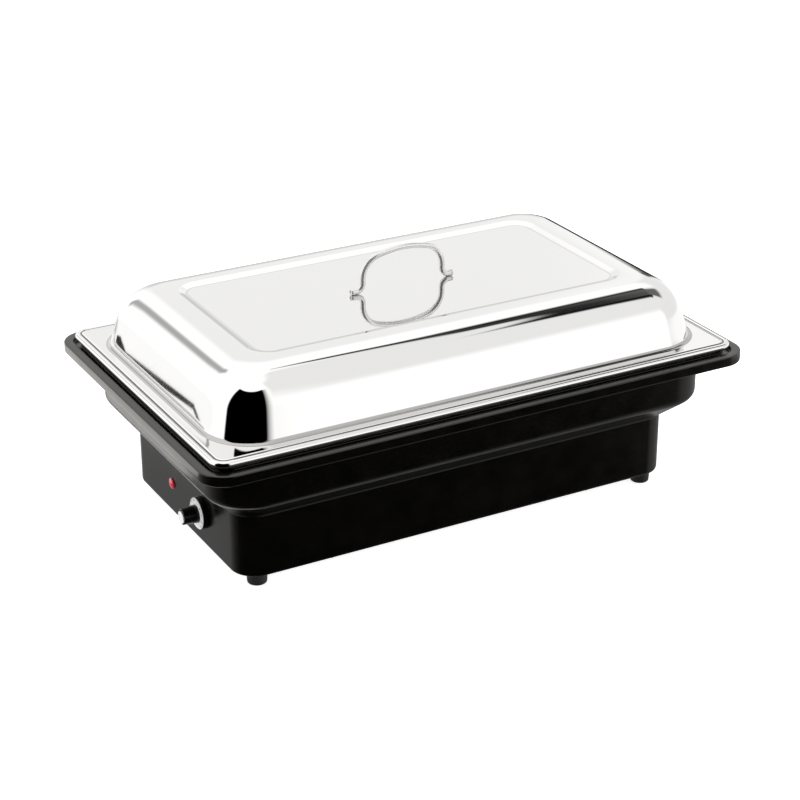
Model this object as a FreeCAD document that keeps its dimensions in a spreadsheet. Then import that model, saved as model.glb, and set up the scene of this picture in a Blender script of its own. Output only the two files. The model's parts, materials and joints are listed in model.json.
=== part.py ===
import FreeCAD, Part
import math
import os
import Sketcher
from FreeCAD import Placement, Rotation, Vector

# Electric buffet server: a black moulded base with a water bath, a tubular heater and a
# thermostat, a full-size food pan and a domed steel lid with a wire handle.
# Frame: millimetres, +Z up, +X along the long side, origin on the table under the centre.
# The controls are on the short wall that faces -X.

SIZES = {
    # feet and lower box
    "foot_height": 12.5,
    "foot_radius": 9.6,
    "foot_x": 211.0,
    "foot_y": 111.0,
    "box_length": 465.0,
    "box_width": 252.0,
    "box_corner": 25.0,
    "box_top": 74.0,
    # wider upper tub
    "tub_length": 520.0,
    "tub_width": 316.0,
    "tub_corner": 45.0,
    "tub_bottom": 99.5,
    # rim
    "rim_length": 568.0,
    "rim_width": 363.0,
    "rim_corner": 26.0,
    "rim_bottom": 140.0,
    "rim_top": 150.0,
    "lip_width": 9.0,
    "channel_floor": 146.0,
    "seat_length": 538.0,
    "seat_width": 333.0,
    "seat_corner": 17.0,
    "seat_top": 148.5,
    "wall": 3.0,
    "shoulder_rise": 1.3,
    "boss_radius": 5.0,
    "boss_height": 20.0,
    "boss_hole_radius": 1.6,
    # base plate
    "plate_thickness": 1.5,
    "plate_gap": 0.4,
    "vent_length": 44.0,
    "vent_width": 4.0,
    "vent_pitch": 10.0,
    # seal and water bath
    "seal_thickness": 1.4,
    "sheet": 1.0,
    "bath_flange_length": 532.0,
    "bath_flange_width": 327.0,
    "bath_flange_corner": 14.0,
    "bath_length": 506.0,
    "bath_width": 302.0,
    "bath_corner": 38.0,
    "bath_shoulder": 104.0,
    "bath_floor_length": 448.0,
    "bath_floor_width": 236.0,
    "bath_floor_corner": 26.0,
    "bath_bottom": 76.0,
    # food pan, full gastronorm size
    "pan_flange_length": 530.0,
    "pan_flange_width": 325.0,
    "pan_flange_corner": 12.0,
    "pan_flange_top": 155.7,
    "pan_skirt": 4.5,
    "pan_length": 498.0,
    "pan_width": 293.0,
    "pan_corner": 40.0,
    "pan_floor_length": 489.0,
    "pan_floor_width": 284.0,
    "pan_floor_corner": 37.0,
    "pan_depth": 65.0,
    "pan_fillet": 18.0,
    # lid
    "lid_flange_length": 546.4,
    "lid_flange_width": 340.0,
    "lid_flange_corner": 15.0,
    "lid_edge": 151.2,
    "lid_roll": 6.0,
    "lid_base": 157.0,
    "lid_top": 215.0,
    "lid_length": 510.0,
    "lid_width": 302.0,
    "lid_corner": 47.5,
    "lid_taper": 15.0,
    "lid_shoulder_radius": 41.0,
    "lid_crown": 0.8,
    "panel_length": 397.0,
    "panel_width": 193.0,
    "panel_corner": 25.0,
    "panel_step": 9.0,
    "panel_depth": 2.6,
    # lid handle
    "wire_radius": 2.8,
    "handle_y": -4.0,
    "handle_foot": 57.0,
    "handle_leg": 43.0,
    "handle_bend": 7.0,
    "handle_shoulder": 22.0,
    "handle_crown": 98.0,
    "handle_top": 251.2,
    # control knob
    "knob_y": -40.0,
    "knob_z": 44.0,
    "knob_gap": 0.4,
    "skirt_radius": 15.6,
    "skirt_depth": 4.6,
    "skirt_bore": 13.4,
    "skirt_web": 1.6,
    "ring_radius": 15.0,
    "ring_inner": 8.6,
    "ring_thickness": 0.6,
    "grip_tip": 7.6,
    "grip_length": 15.4,
    "cap_radius": 5.8,
    "cap_thickness": 0.9,
    "spindle_radius": 3.0,
    "spindle_length": 34.0,
    "spindle_clearance": 0.05,
    # thermostat
    "stat_plate": 1.5,
    "stat_plate_size": 40.0,
    "stat_depth": 26.0,
    "stat_size": 32.0,
    "stat_screw_pitch": 10.5,
    # indicator lamp
    "lamp_y": 28.0,
    "lamp_z": 44.0,
    "lens_radius": 5.3,
    "lens_height": 2.6,
    "lamp_radius": 4.2,
    "lamp_length": 19.0,
    "lamp_nut_radius": 7.0,
    "lamp_nut_thickness": 3.0,
    # mains inlet
    "inlet_x": -150.0,
    "inlet_z": 43.0,
    "inlet_flange_length": 50.0,
    "inlet_flange_height": 25.0,
    "inlet_flange": 3.0,
    "inlet_length": 27.2,
    "inlet_height": 19.6,
    "inlet_depth": 19.0,
    "inlet_mouth_length": 24.4,
    "inlet_mouth_height": 16.8,
    "inlet_mouth_depth": 17.0,
    "inlet_screw_pitch": 40.0,
    # heater
    "heater_radius": 4.0,
    "heater_drop": 0.1,
    "heater_pitch": 50.0,
    "heater_start": -186.0,
    "heater_turn_left": -130.0,
    "heater_turn_right": 150.0,
    "strap_length": 190.0,
    "strap_width": 14.0,
    "strap_thickness": 1.5,
    "stud_radius": 2.0,
    "nut_radius": 3.9,
    "nut_height": 3.2,
    # shield under the heater
    "shield_x": 26.0,
    "shield_length": 350.0,
    "shield_width": 224.0,
    "shield_bottom": 56.0,
    "shield_stud_x": 150.0,
    "shield_stud_y": 103.0,
    "mat_thickness": 4.0,
    "spacer_radius": 4.0,
    # rounds, screws, tabs and other small parts
    "tub_round": 4.0,
    "box_round": 2.4,
    "rim_lower_round": 1.6,
    "rim_upper_round": 0.9,
    "foot_recess_radius": 4.4,
    "foot_recess_depth": 6.0,
    "foot_round": 2.4,
    "foot_screw_head": 3.8,
    "foot_screw_head_height": 2.4,
    "foot_screw_length": 13.0,
    "plate_screw_head": 3.4,
    "plate_screw_head_height": 1.8,
    "plate_screw_length": 14.0,
    "pan_round": 0.8,
    "stat_screw_head": 2.4,
    "stat_screw_head_height": 1.6,
    "stat_screw_length": 9.0,
    "stat_tab_length": 8.0,
    "wide_tab": 6.3,
    "tab_thickness": 0.8,
    "stat_tab_pitch": 8.0,
    "stat_tab_drop": 8.4,
    "bulb_length": 92.0,
    "clip_length": 6.0,
    "clip_width": 14.0,
    "clip_height": 7.1,
    "lamp_tab_length": 7.0,
    "narrow_tab": 2.8,
    "pin_thickness": 2.0,
    "pin_length": 14.0,
    "pin_height": 4.0,
    "inlet_tab_length": 9.0,
    "inlet_tab": 4.8,
    "inlet_screw_head": 2.9,
    "inlet_screw_head_height": 1.8,
    "inlet_screw_length": 9.0,
    "bead_tip": 2.6,
    "bead_length": 6.0,
    "element_tab_length": 14.0,
    "shield_corner": 10.0,
    "cutout_radius": 8.0,
    "cutout_height": 9.4,
    "ear_width": 10.0,
    "ear_span": 32.0,
    "cutout_tab_length": 9.0,
    "terminal_length": 32.0,
    "terminal_width": 24.0,
    "terminal_step": 9.0,
    "ridge_width": 12.0,
    "terminal_height": 15.0,
    "earth_length": 12.0,
    # leads
    "lead_radius": 1.2,
    "capillary_radius": 0.9,
    "bulb_radius": 3.0,
    "bulb_y": -40.0,
}

PART_LABELS = []

doc = FreeCAD.newDocument("buffet_server")
sheet = doc.addObject("Spreadsheet::Sheet", "Sizes")
for row, (alias, number) in enumerate(SIZES.items(), start=1):
    sheet.set("A%d" % row, alias)
    sheet.set("B%d" % row, str(number))
    sheet.setAlias("B%d" % row, alias)
doc.recompute()


def size(alias):
    """The sheet's present value of one driving dimension."""
    return float(sheet.get(alias))


def cell(expression):
    """Turn plain aliases in an expression into references to the sheet."""
    words = expression.replace("(", " ( ").replace(")", " ) ").split()
    return " ".join("Sizes." + word if word in SIZES else word for word in words)


def value(expression):
    """Work out the same expression in python, for a sketch's first geometry."""
    words = expression.replace("(", " ( ").replace(")", " ) ").split()
    total = []
    for word in words:
        total.append(str(size(word)) if word in SIZES else word)
    return evaluate(total)


def evaluate(words):
    """Read sums and products of numbers, with brackets, from a list of words."""
    position = [0]

    def factor():
        word = words[position[0]]
        position[0] += 1
        if word == "(":
            inner = total()
            position[0] += 1
            return inner
        if word == "-":
            return -factor()
        return float(word)

    def product():
        result = factor()
        while position[0] < len(words) and words[position[0]] in ("*", "/"):
            sign = words[position[0]]
            position[0] += 1
            other = factor()
            result = result * other if sign == "*" else result / other
        return result

    def total():
        result = product()
        while position[0] < len(words) and words[position[0]] in ("+", "-"):
            sign = words[position[0]]
            position[0] += 1
            other = product()
            result = result + other if sign == "+" else result - other
        return result

    return total()


def keep(thing, label):
    """Name a finished sub-part: its label is also its file's name."""
    thing.Label = label
    PART_LABELS.append(label)
    return thing


# ---------------------------------------------------------------- sketches and features

def new_body(label):
    body = doc.addObject("PartDesign::Body", label)
    return keep(body, label)


def origin_plane(body, role):
    for feature in body.Origin.OriginFeatures:
        if feature.Role == role:
            return feature
    raise RuntimeError("no plane " + role)


def new_sketch(body, name, role, offset):
    """An empty sketch parallel to one of the body's own origin planes."""
    sketch = body.newObject("Sketcher::SketchObject", name)
    sketch.AttachmentSupport = [(origin_plane(body, role), "")]
    sketch.MapMode = "FlatFace"
    sketch.setExpression("AttachmentOffset.Base.z", cell(offset))
    return sketch


def bind(sketch, index, name, expression):
    sketch.renameConstraint(index, name)
    sketch.setExpression("Constraints." + name, cell(expression))


def add_rectangle(sketch, tag, length, width, corner, at=("0", "0")):
    """A rectangle with equal round corners, its size and centre bound to the sheet."""
    half_x, half_y = value(length) / 2, value(width) / 2
    radius = value(corner)
    cx, cy = value(at[0]), value(at[1])
    first = sketch.GeometryCount
    x0, x1 = cx - half_x, cx + half_x
    y0, y1 = cy - half_y, cy + half_y
    lines = [
        ((x0 + radius, y0), (x1 - radius, y0)),
        ((x1, y0 + radius), (x1, y1 - radius)),
        ((x1 - radius, y1), (x0 + radius, y1)),
        ((x0, y1 - radius), (x0, y0 + radius)),
    ]
    for start, end in lines:
        sketch.addGeometry(Part.LineSegment(Vector(*start, 0), Vector(*end, 0)), False)
    centres = [(x1 - radius, y0 + radius), (x1 - radius, y1 - radius),
               (x0 + radius, y1 - radius), (x0 + radius, y0 + radius)]
    for quarter, centre in enumerate(centres):
        circle = Part.Circle(Vector(*centre, 0), Vector(0, 0, 1), radius)
        start = math.radians(-90 + 90 * quarter)
        sketch.addGeometry(Part.ArcOfCircle(circle, start, start + math.pi / 2), False)
    for side in range(4):
        arc = first + 4 + side
        sketch.addConstraint(Sketcher.Constraint("Tangent", first + side, 2, arc, 1))
        sketch.addConstraint(Sketcher.Constraint("Tangent", arc, 2, first + (side + 1) % 4, 1))
    sketch.addConstraint(Sketcher.Constraint("Horizontal", first))
    sketch.addConstraint(Sketcher.Constraint("Vertical", first + 1))
    for arc in (5, 6, 7):
        sketch.addConstraint(Sketcher.Constraint("Equal", first + 4, first + arc))
    put = sketch.addConstraint
    index = put(Sketcher.Constraint("DistanceX", first + 3, 1, first + 1, 1, 2 * half_x))
    bind(sketch, index, tag + "_length", length)
    index = put(Sketcher.Constraint("DistanceY", first, 1, first + 2, 1, 2 * half_y))
    bind(sketch, index, tag + "_width", width)
    index = put(Sketcher.Constraint("DistanceX", -1, 1, first + 1, 1, x1))
    bind(sketch, index, tag + "_right", "( %s ) / 2 + ( %s )" % (length, at[0]))
    index = put(Sketcher.Constraint("DistanceY", -1, 1, first + 2, 1, y1))
    bind(sketch, index, tag + "_top", "( %s ) / 2 + ( %s )" % (width, at[1]))
    index = put(Sketcher.Constraint("Radius", first + 4, radius))
    bind(sketch, index, tag + "_corner", corner)


def add_circle(sketch, tag, radius, at):
    """A circle whose radius and centre are bound to the sheet."""
    centre = Vector(value(at[0]), value(at[1]), 0)
    index = sketch.addGeometry(Part.Circle(centre, Vector(0, 0, 1), value(radius)), False)
    put = sketch.addConstraint
    name = put(Sketcher.Constraint("Radius", index, value(radius)))
    bind(sketch, name, tag + "_radius", radius)
    name = put(Sketcher.Constraint("DistanceX", -1, 1, index, 3, centre.x))
    bind(sketch, name, tag + "_across", at[0])
    name = put(Sketcher.Constraint("DistanceY", -1, 1, index, 3, centre.y))
    bind(sketch, name, tag + "_up", at[1])


def extrude(body, kind, sketch, length, reverse=False):
    """Pad or pocket one sketch, and make sure that it changed the solid."""
    before = body.Shape.Volume if body.Tip else 0.0
    feature = body.newObject("PartDesign::" + kind, sketch.Name + "_" + kind.lower())
    feature.Profile = sketch
    feature.setExpression("Length", cell(length))
    feature.Reversed = reverse
    sketch.Visibility = False
    doc.recompute()
    if abs(body.Shape.Volume - before) < 1e-3:
        raise RuntimeError(feature.Name + " changed nothing")
    return feature


def loft(body, kind, sketches):
    feature = body.newObject("PartDesign::" + kind, sketches[0].Name + "_loft")
    feature.Profile = sketches[0]
    feature.Sections = sketches[1:]
    feature.Ruled = True
    doc.recompute()
    return feature


def round_edges(body, chosen, radius, name):
    """Fillet the body's edges that the test function picks."""
    base = body.Tip
    names = ["Edge%d" % (number + 1) for number, edge in enumerate(base.Shape.Edges) if chosen(edge)]
    if not names:
        raise RuntimeError("no edges for " + name)
    fillet = body.newObject("PartDesign::Fillet", name)
    fillet.Base = (base, names)
    fillet.setExpression("Radius", cell(radius))
    doc.recompute()
    return fillet


def ring_at(height, half_length, half_width):
    """A test for the edges of one level outline: those that reach its length or its width."""
    def chosen(edge):
        box = edge.BoundBox
        if abs(box.ZMin - height) > 0.01 or abs(box.ZMax - height) > 0.01:
            return False
        reach_x = max(abs(box.XMin), abs(box.XMax))
        reach_y = max(abs(box.YMin), abs(box.YMax))
        return abs(reach_x - half_length) < 0.02 or abs(reach_y - half_width) < 0.02
    return chosen


# ---------------------------------------------------------------- primitives

AXES = {
    "+Z": Rotation(),
    "-Z": Rotation(Vector(1, 0, 0), 180),
    "+X": Rotation(Vector(0, 1, 0), 90),
    "-X": Rotation(Vector(0, 1, 0), -90),
    "+Y": Rotation(Vector(1, 0, 0), -90),
    "-Y": Rotation(Vector(1, 0, 0), 90),
}


def place(thing, at, axis="+Z"):
    """Put a primitive's base at a point given by three expressions, along one axis."""
    thing.Placement = Placement(Vector(*[value(word) for word in at]), AXES[axis])
    for letter, word in zip("xyz", at):
        thing.setExpression("Placement.Base." + letter, cell(word))


def cylinder(name, radius, height, at, axis="+Z"):
    thing = doc.addObject("Part::Cylinder", name)
    thing.setExpression("Radius", cell(radius))
    thing.setExpression("Height", cell(height))
    place(thing, at, axis)
    return thing


def cone(name, root, tip, height, at, axis="+Z"):
    thing = doc.addObject("Part::Cone", name)
    thing.setExpression("Radius1", cell(root))
    thing.setExpression("Radius2", cell(tip))
    thing.setExpression("Height", cell(height))
    place(thing, at, axis)
    return thing


def block(name, sizes, centre_x, centre_y, bottom):
    """A box given by its three sizes, the middle of its plan and its lowest height."""
    thing = doc.addObject("Part::Box", name)
    for side, word in zip(("Length", "Width", "Height"), sizes):
        thing.setExpression(side, cell(word))
    at = ("( %s ) - ( %s ) / 2" % (centre_x, sizes[0]), "( %s ) - ( %s ) / 2" % (centre_y, sizes[1]), bottom)
    place(thing, at)
    return thing


def prism(name, sides, radius, height, at, axis="+Z"):
    thing = doc.addObject("Part::Prism", name)
    thing.Polygon = sides
    thing.setExpression("Circumradius", cell(radius))
    thing.setExpression("Height", cell(height))
    place(thing, at, axis)
    return thing


def fuse(name, things):
    result = doc.addObject("Part::MultiFuse", name)
    result.Shapes = things
    return result


def cut(name, base, tool):
    result = doc.addObject("Part::Cut", name)
    result.Base = base
    result.Tool = tool
    return result


def group(label, things):
    """Identical separate solids in one node."""
    result = doc.addObject("Part::Compound", label)
    result.Links = things
    return keep(result, label)


def screw(name, at, axis, head_radius, head_height, shank_radius, shank_length):
    """A pan-head screw: at is the seat of its head, axis the way that its shank runs."""
    back = {"+": "-", "-": "+"}[axis[0]] + axis[1]
    head = cylinder(name + "_head", head_radius, head_height, at, back)
    shank = cylinder(name + "_shank", shank_radius, shank_length, at, axis)
    return fuse(name, [head, shank])


# ---------------------------------------------------------------- drawn sheets and tubes

def rounded_wire(length, width, corner, height):
    """A level rectangle with round corners as a wire of lines and arcs."""
    half_x, half_y = length / 2, width / 2
    inner_x, inner_y = half_x - corner, half_y - corner
    edges = []
    signs = [(1, -1), (1, 1), (-1, 1), (-1, -1)]
    for quarter, (sx, sy) in enumerate(signs):
        centre = Vector(sx * inner_x, sy * inner_y, height)
        angles = [math.radians(-90 + 90 * quarter + turn) for turn in (0, 45, 90)]
        points = [centre + Vector(corner * math.cos(a), corner * math.sin(a), 0) for a in angles]
        edges.append(Part.Arc(*points).toShape())
        nx, ny = signs[(quarter + 1) % 4]
        following = Vector(nx * inner_x, ny * inner_y, height)
        last = points[2]
        turn = angles[2]
        target = following + Vector(corner * math.cos(turn), corner * math.sin(turn), 0)
        edges.append(Part.LineSegment(last, target).toShape())
    return Part.Wire(edges)


def bent_path(points):
    """Straight runs joined by tangent arcs, each arc as large as its two runs allow."""
    points = [Vector(*p) for p in points]
    edges = []
    radii = []
    last = points[0]
    for before, corner, after in zip(points, points[1:], points[2:]):
        run_in, run_out = corner - before, after - corner
        turn = run_in.getAngle(run_out)
        reach = 0.45 * min(run_in.Length, run_out.Length)
        radii.append(reach / math.tan(turn / 2))
        start = corner - Vector(run_in).normalize() * reach
        end = corner + Vector(run_out).normalize() * reach
        towards = ((start + end) * 0.5 - corner).normalize()
        to_centre = math.hypot(radii[-1], reach)
        middle = corner + towards * (to_centre - radii[-1])
        edges.append(Part.LineSegment(last, start).toShape())
        edges.append(Part.Arc(start, middle, end).toShape())
        last = end
    edges.append(Part.LineSegment(last, points[-1]).toShape())
    return Part.Wire(edges), radii


def tube(path, radius):
    """A round solid along a path of lines and tangent arcs."""
    first = path.Edges[0]
    start = first.valueAt(first.FirstParameter)
    direction = first.tangentAt(first.FirstParameter)
    profile = Part.Wire(Part.makeCircle(radius, start, direction))
    solid = path.makePipeShell([profile], True, False)
    expected = math.pi * radius ** 2 * path.Length
    if abs(solid.Volume / expected - 1) > 0.02:
        raise RuntimeError("a tube's volume is wrong")
    return solid


def shape_part(label, shape):
    thing = doc.addObject("Part::Feature", label)
    thing.Shape = shape
    thing.Placement = Placement()
    return keep(thing, label)


# ---------------------------------------------------------------- base housing

def base_housing():
    """One moulding: lower box, sloping shoulder, tub, overhanging rim with a raised lip."""
    body = new_body("base_housing")
    box = ("box_length", "box_width", "box_corner")
    tub = ("tub_length", "tub_width", "tub_corner")
    box_inside = ("box_length - 2 * wall", "box_width - 2 * wall", "box_corner - wall")
    tub_inside = ("tub_length - 2 * wall", "tub_width - 2 * wall", "tub_corner - wall")
    inner_rim = ("rim_length - 2 * lip_width", "rim_width - 2 * lip_width", "rim_corner - lip_width")

    def level(name, outline, height):
        sketch = new_sketch(body, name, "XY_Plane", height)
        add_rectangle(sketch, "outline", *outline)
        return sketch

    extrude(body, "Pad", level("box_outline", box, "foot_height"), "box_top - foot_height")
    loft(body, "AdditiveLoft", [level("shoulder_low", box, "box_top"),
                                level("shoulder_high", tub, "tub_bottom")])
    extrude(body, "Pad", level("tub_outline", tub, "tub_bottom"), "seat_top - tub_bottom")
    rim = level("rim_outline", ("rim_length", "rim_width", "rim_corner"), "rim_bottom")
    extrude(body, "Pad", rim, "rim_top - rim_bottom")
    extrude(body, "Pocket", level("rim_recess", inner_rim, "rim_top"), "rim_top - seat_top")

    channel = level("rim_channel", inner_rim, "seat_top")
    add_rectangle(channel, "seat", "seat_length", "seat_width", "seat_corner")
    extrude(body, "Pocket", channel, "seat_top - channel_floor")

    skirt_inside = ("rim_length - 2 * wall", "rim_width - 2 * wall", "rim_corner - wall")
    under = level("rim_underside", skirt_inside, "rim_bottom")
    add_rectangle(under, "tub", *tub)
    extrude(body, "Pocket", under, "channel_floor - wall - rim_bottom", True)

    extrude(body, "Pocket", level("tub_cavity", tub_inside, "seat_top"),
            "seat_top - tub_bottom - shoulder_rise")
    loft(body, "SubtractiveLoft", [level("cavity_high", tub_inside, "tub_bottom + shoulder_rise"),
                                   level("cavity_low", box_inside, "box_top + shoulder_rise")])
    extrude(body, "Pocket", level("box_cavity", box_inside, "box_top + shoulder_rise"),
            "box_top + shoulder_rise - foot_height")

    bosses = new_sketch(body, "bosses", "XY_Plane", "foot_height + plate_thickness")
    boss_holes = new_sketch(body, "boss_holes", "XY_Plane", "foot_height + plate_thickness")
    for number, at in enumerate(BOSSES):
        add_circle(bosses, "boss%d" % number, "boss_radius", at)
        add_circle(boss_holes, "hole%d" % number, "boss_hole_radius", at)
    extrude(body, "Pad", bosses, "boss_height")
    extrude(body, "Pocket", boss_holes, "boss_height - wall", True)

    controls = new_sketch(body, "control_holes", "YZ_Plane", "- box_length / 2 - 1")
    add_circle(controls, "spindle", "spindle_radius + 1", ("knob_y", "knob_z"))
    add_circle(controls, "lamp", "lamp_radius", ("lamp_y", "lamp_z"))
    for number, side in enumerate(("-", "+")):
        at = ("knob_y " + side + " stat_screw_pitch", "knob_z")
        add_circle(controls, "fixing%d" % number, "stud_radius", at)
    extrude(body, "Pocket", controls, "wall + 2", True)

    inlet = new_sketch(body, "inlet_hole", "XZ_Plane", "- box_width / 2 - 1")
    add_rectangle(inlet, "hole", "inlet_length", "inlet_height", "3", ("inlet_x", "inlet_z"))
    for number, side in enumerate(("-", "+")):
        at = ("inlet_x " + side + " inlet_screw_pitch / 2", "inlet_z")
        add_circle(inlet, "fixing%d" % number, "boss_hole_radius", at)
    extrude(body, "Pocket", inlet, "wall + 2", True)

    half_box = (size("box_length") / 2, size("box_width") / 2)
    half_tub = (size("tub_length") / 2, size("tub_width") / 2)
    half_rim = (size("rim_length") / 2, size("rim_width") / 2)
    round_edges(body, ring_at(size("tub_bottom"), *half_tub), "tub_round", "tub_edge")
    round_edges(body, ring_at(size("foot_height"), *half_box), "box_round", "box_edge")
    round_edges(body, ring_at(size("rim_bottom"), *half_rim), "rim_lower_round", "rim_lower_edge")
    round_edges(body, ring_at(size("rim_top"), *half_rim), "rim_upper_round", "rim_upper_edge")


# centres of the six screw bosses, half sunk into the walls of the lower box
BOSSES = [
    ("- 140", "- ( box_width / 2 - wall ) + 4"),
    ("140", "- ( box_width / 2 - wall ) + 4"),
    ("- 90", "box_width / 2 - wall - 4"),
    ("140", "box_width / 2 - wall - 4"),
    ("- ( box_length / 2 - wall ) + 4", "0"),
    ("box_length / 2 - wall - 4", "0"),
]
FEET = [("- foot_x", "- foot_y"), ("foot_x", "- foot_y"), ("- foot_x", "foot_y"), ("foot_x", "foot_y")]
FOOT_NAMES = ["foot_front_left", "foot_front_right", "foot_rear_left", "foot_rear_right"]


# ---------------------------------------------------------------- underside

def base_plate():
    """The steel bottom cover, with rows of vent slots and holes for feet and screws."""
    body = new_body("base_plate")
    gap = "2 * ( wall + plate_gap )"
    outline = new_sketch(body, "plate_outline", "XY_Plane", "foot_height")
    add_rectangle(outline, "plate", "box_length - " + gap, "box_width - " + gap,
                  "box_corner - wall - plate_gap")
    extrude(body, "Pad", outline, "plate_thickness")
    holes = new_sketch(body, "plate_holes", "XY_Plane", "foot_height + plate_thickness")
    for number, at in enumerate(BOSSES + FEET):
        radius = "boss_hole_radius + 0.5" if number < len(BOSSES) else "stud_radius + 0.1"
        add_circle(holes, "hole%d" % number, radius, at)
    extrude(body, "Pocket", holes, "plate_thickness")
    vents = new_sketch(body, "vent_slots", "XY_Plane", "foot_height + plate_thickness")
    for column, centre in enumerate(("- 60", "60")):
        for row in range(6):
            across = "vent_pitch * %.1f" % (row - 2.5)
            add_rectangle(vents, "slot%d_%d" % (column, row), "vent_length", "vent_width",
                          "vent_width / 2 - 0.1", (centre, across))
    extrude(body, "Pocket", vents, "plate_thickness")


def feet():
    """Round rubber feet with a recess for the screw's head."""
    for name, at in zip(FOOT_NAMES, FEET):
        body = new_body(name)
        disc = new_sketch(body, name + "_disc", "XY_Plane", "0")
        add_circle(disc, "disc", "foot_radius", at)
        extrude(body, "Pad", disc, "foot_height")
        bore = new_sketch(body, name + "_bore", "XY_Plane", "foot_height")
        add_circle(bore, "bore", "stud_radius + 0.1", at)
        extrude(body, "Pocket", bore, "foot_height")
        recess = new_sketch(body, name + "_recess", "XY_Plane", "0")
        add_circle(recess, "recess", "foot_recess_radius", at)
        extrude(body, "Pocket", recess, "foot_recess_depth", True)
        rim = size("foot_radius")

        def lower_edge(edge, rim=rim):
            return abs(edge.BoundBox.ZMax) < 0.01 and abs(edge.BoundBox.XLength - 2 * rim) < 0.05

        round_edges(body, lower_edge, "foot_round", name + "_round")


def underside_fasteners():
    plate_top = "foot_height + plate_thickness"
    group("foot_screws", [
        screw("foot_screw%d" % number, (x, y, "foot_recess_depth"), "+Z",
              "foot_screw_head", "foot_screw_head_height", "stud_radius", "foot_screw_length")
        for number, (x, y) in enumerate(FEET)])
    nuts = []
    for number, (x, y) in enumerate(FEET):
        outer = prism("foot_nut%d_hex" % number, 6, "nut_radius", "nut_height", (x, y, plate_top))
        hole = cylinder("foot_nut%d_bore" % number, "stud_radius", "nut_height", (x, y, plate_top))
        nuts.append(cut("foot_nut%d" % number, outer, hole))
    group("foot_nuts", nuts)
    group("plate_screws", [
        screw("plate_screw%d" % number, (x, y, "foot_height"), "+Z",
              "plate_screw_head", "plate_screw_head_height", "boss_hole_radius", "plate_screw_length")
        for number, (x, y) in enumerate(BOSSES)])


# ---------------------------------------------------------------- seal, water bath, food pan

def rim_seal():
    """The silicone ring between the housing's seat and the water bath's flange."""
    body = new_body("rim_seal")
    ring = new_sketch(body, "seal_ring", "XY_Plane", "seat_top")
    add_rectangle(ring, "outer", "bath_flange_length - 1", "bath_flange_width - 1", "bath_flange_corner")
    add_rectangle(ring, "inner", "tub_length - 2 * wall + 1", "tub_width - 2 * wall + 1",
                  "tub_corner - wall")
    extrude(body, "Pad", ring, "seal_thickness")


def drawn_vessel(label, flange, flange_bottom, levels, fillet):
    """A vessel drawn from sheet: a flat flange and walls through a list of level outlines."""
    body = new_body(label)
    plate = new_sketch(body, label + "_flange", "XY_Plane", flange_bottom)
    add_rectangle(plate, "flange", *flange)
    extrude(body, "Pad", plate, "sheet")

    outside = []
    inside = []
    for number, (height, length, width, corner) in enumerate(levels):
        outer = new_sketch(body, "%s_out%d" % (label, number), "XY_Plane", height)
        add_rectangle(outer, "outline", length, width, corner)
        outside.append(outer)
    loft(body, "AdditiveLoft", outside)
    for number, (height, length, width, corner) in enumerate(levels):
        lift = " + sheet" if number in (0, len(levels) - 1) else ""
        inner = new_sketch(body, "%s_in%d" % (label, number), "XY_Plane", height + lift)
        add_rectangle(inner, "outline", length + " - 2 * sheet", width + " - 2 * sheet", corner + " - sheet")
        inside.append(inner)
    loft(body, "SubtractiveLoft", inside)

    if not fillet:
        return body
    height, length, width, corner = levels[-1]
    floor = value(height)
    half = (value(length) / 2, value(width) / 2)
    thin = size("sheet")
    round_edges(body, ring_at(floor, *half), fillet, label + "_outer_round")
    inner_ring = ring_at(floor + thin, half[0] - thin, half[1] - thin)
    round_edges(body, inner_ring, fillet + " - sheet", label + "_inner_round")
    return body


def water_bath():
    flange = ("bath_flange_length", "bath_flange_width", "bath_flange_corner")
    seat = "seat_top + seal_thickness"
    drawn_vessel("water_bath", flange, seat, [
        (seat, "bath_length", "bath_width", "bath_corner"),
        ("bath_shoulder", "bath_length", "bath_width", "bath_corner"),
        ("bath_bottom", "bath_floor_length", "bath_floor_width", "bath_floor_corner"),
    ], None)


def food_pan():
    """A full-size gastronorm pan: its flange has a turned-down edge that rests on the bath."""
    flange = ("pan_flange_length", "pan_flange_width", "pan_flange_corner")
    body = drawn_vessel("food_pan", flange, "pan_flange_top - sheet", [
        ("pan_flange_top - sheet", "pan_length", "pan_width", "pan_corner"),
        ("pan_flange_top - pan_depth", "pan_floor_length", "pan_floor_width", "pan_floor_corner"),
    ], "pan_fillet")
    edge = new_sketch(body, "pan_turned_edge", "XY_Plane", "pan_flange_top - sheet")
    add_rectangle(edge, "outer", *flange)
    add_rectangle(edge, "inner", "pan_flange_length - 2 * sheet", "pan_flange_width - 2 * sheet",
                  "pan_flange_corner - sheet")
    extrude(body, "Pad", edge, "pan_skirt - sheet", True)
    half = (size("pan_flange_length") / 2, size("pan_flange_width") / 2)
    round_edges(body, ring_at(size("pan_flange_top"), *half), "pan_round", "pan_edge_round")


# ---------------------------------------------------------------- lid

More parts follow.
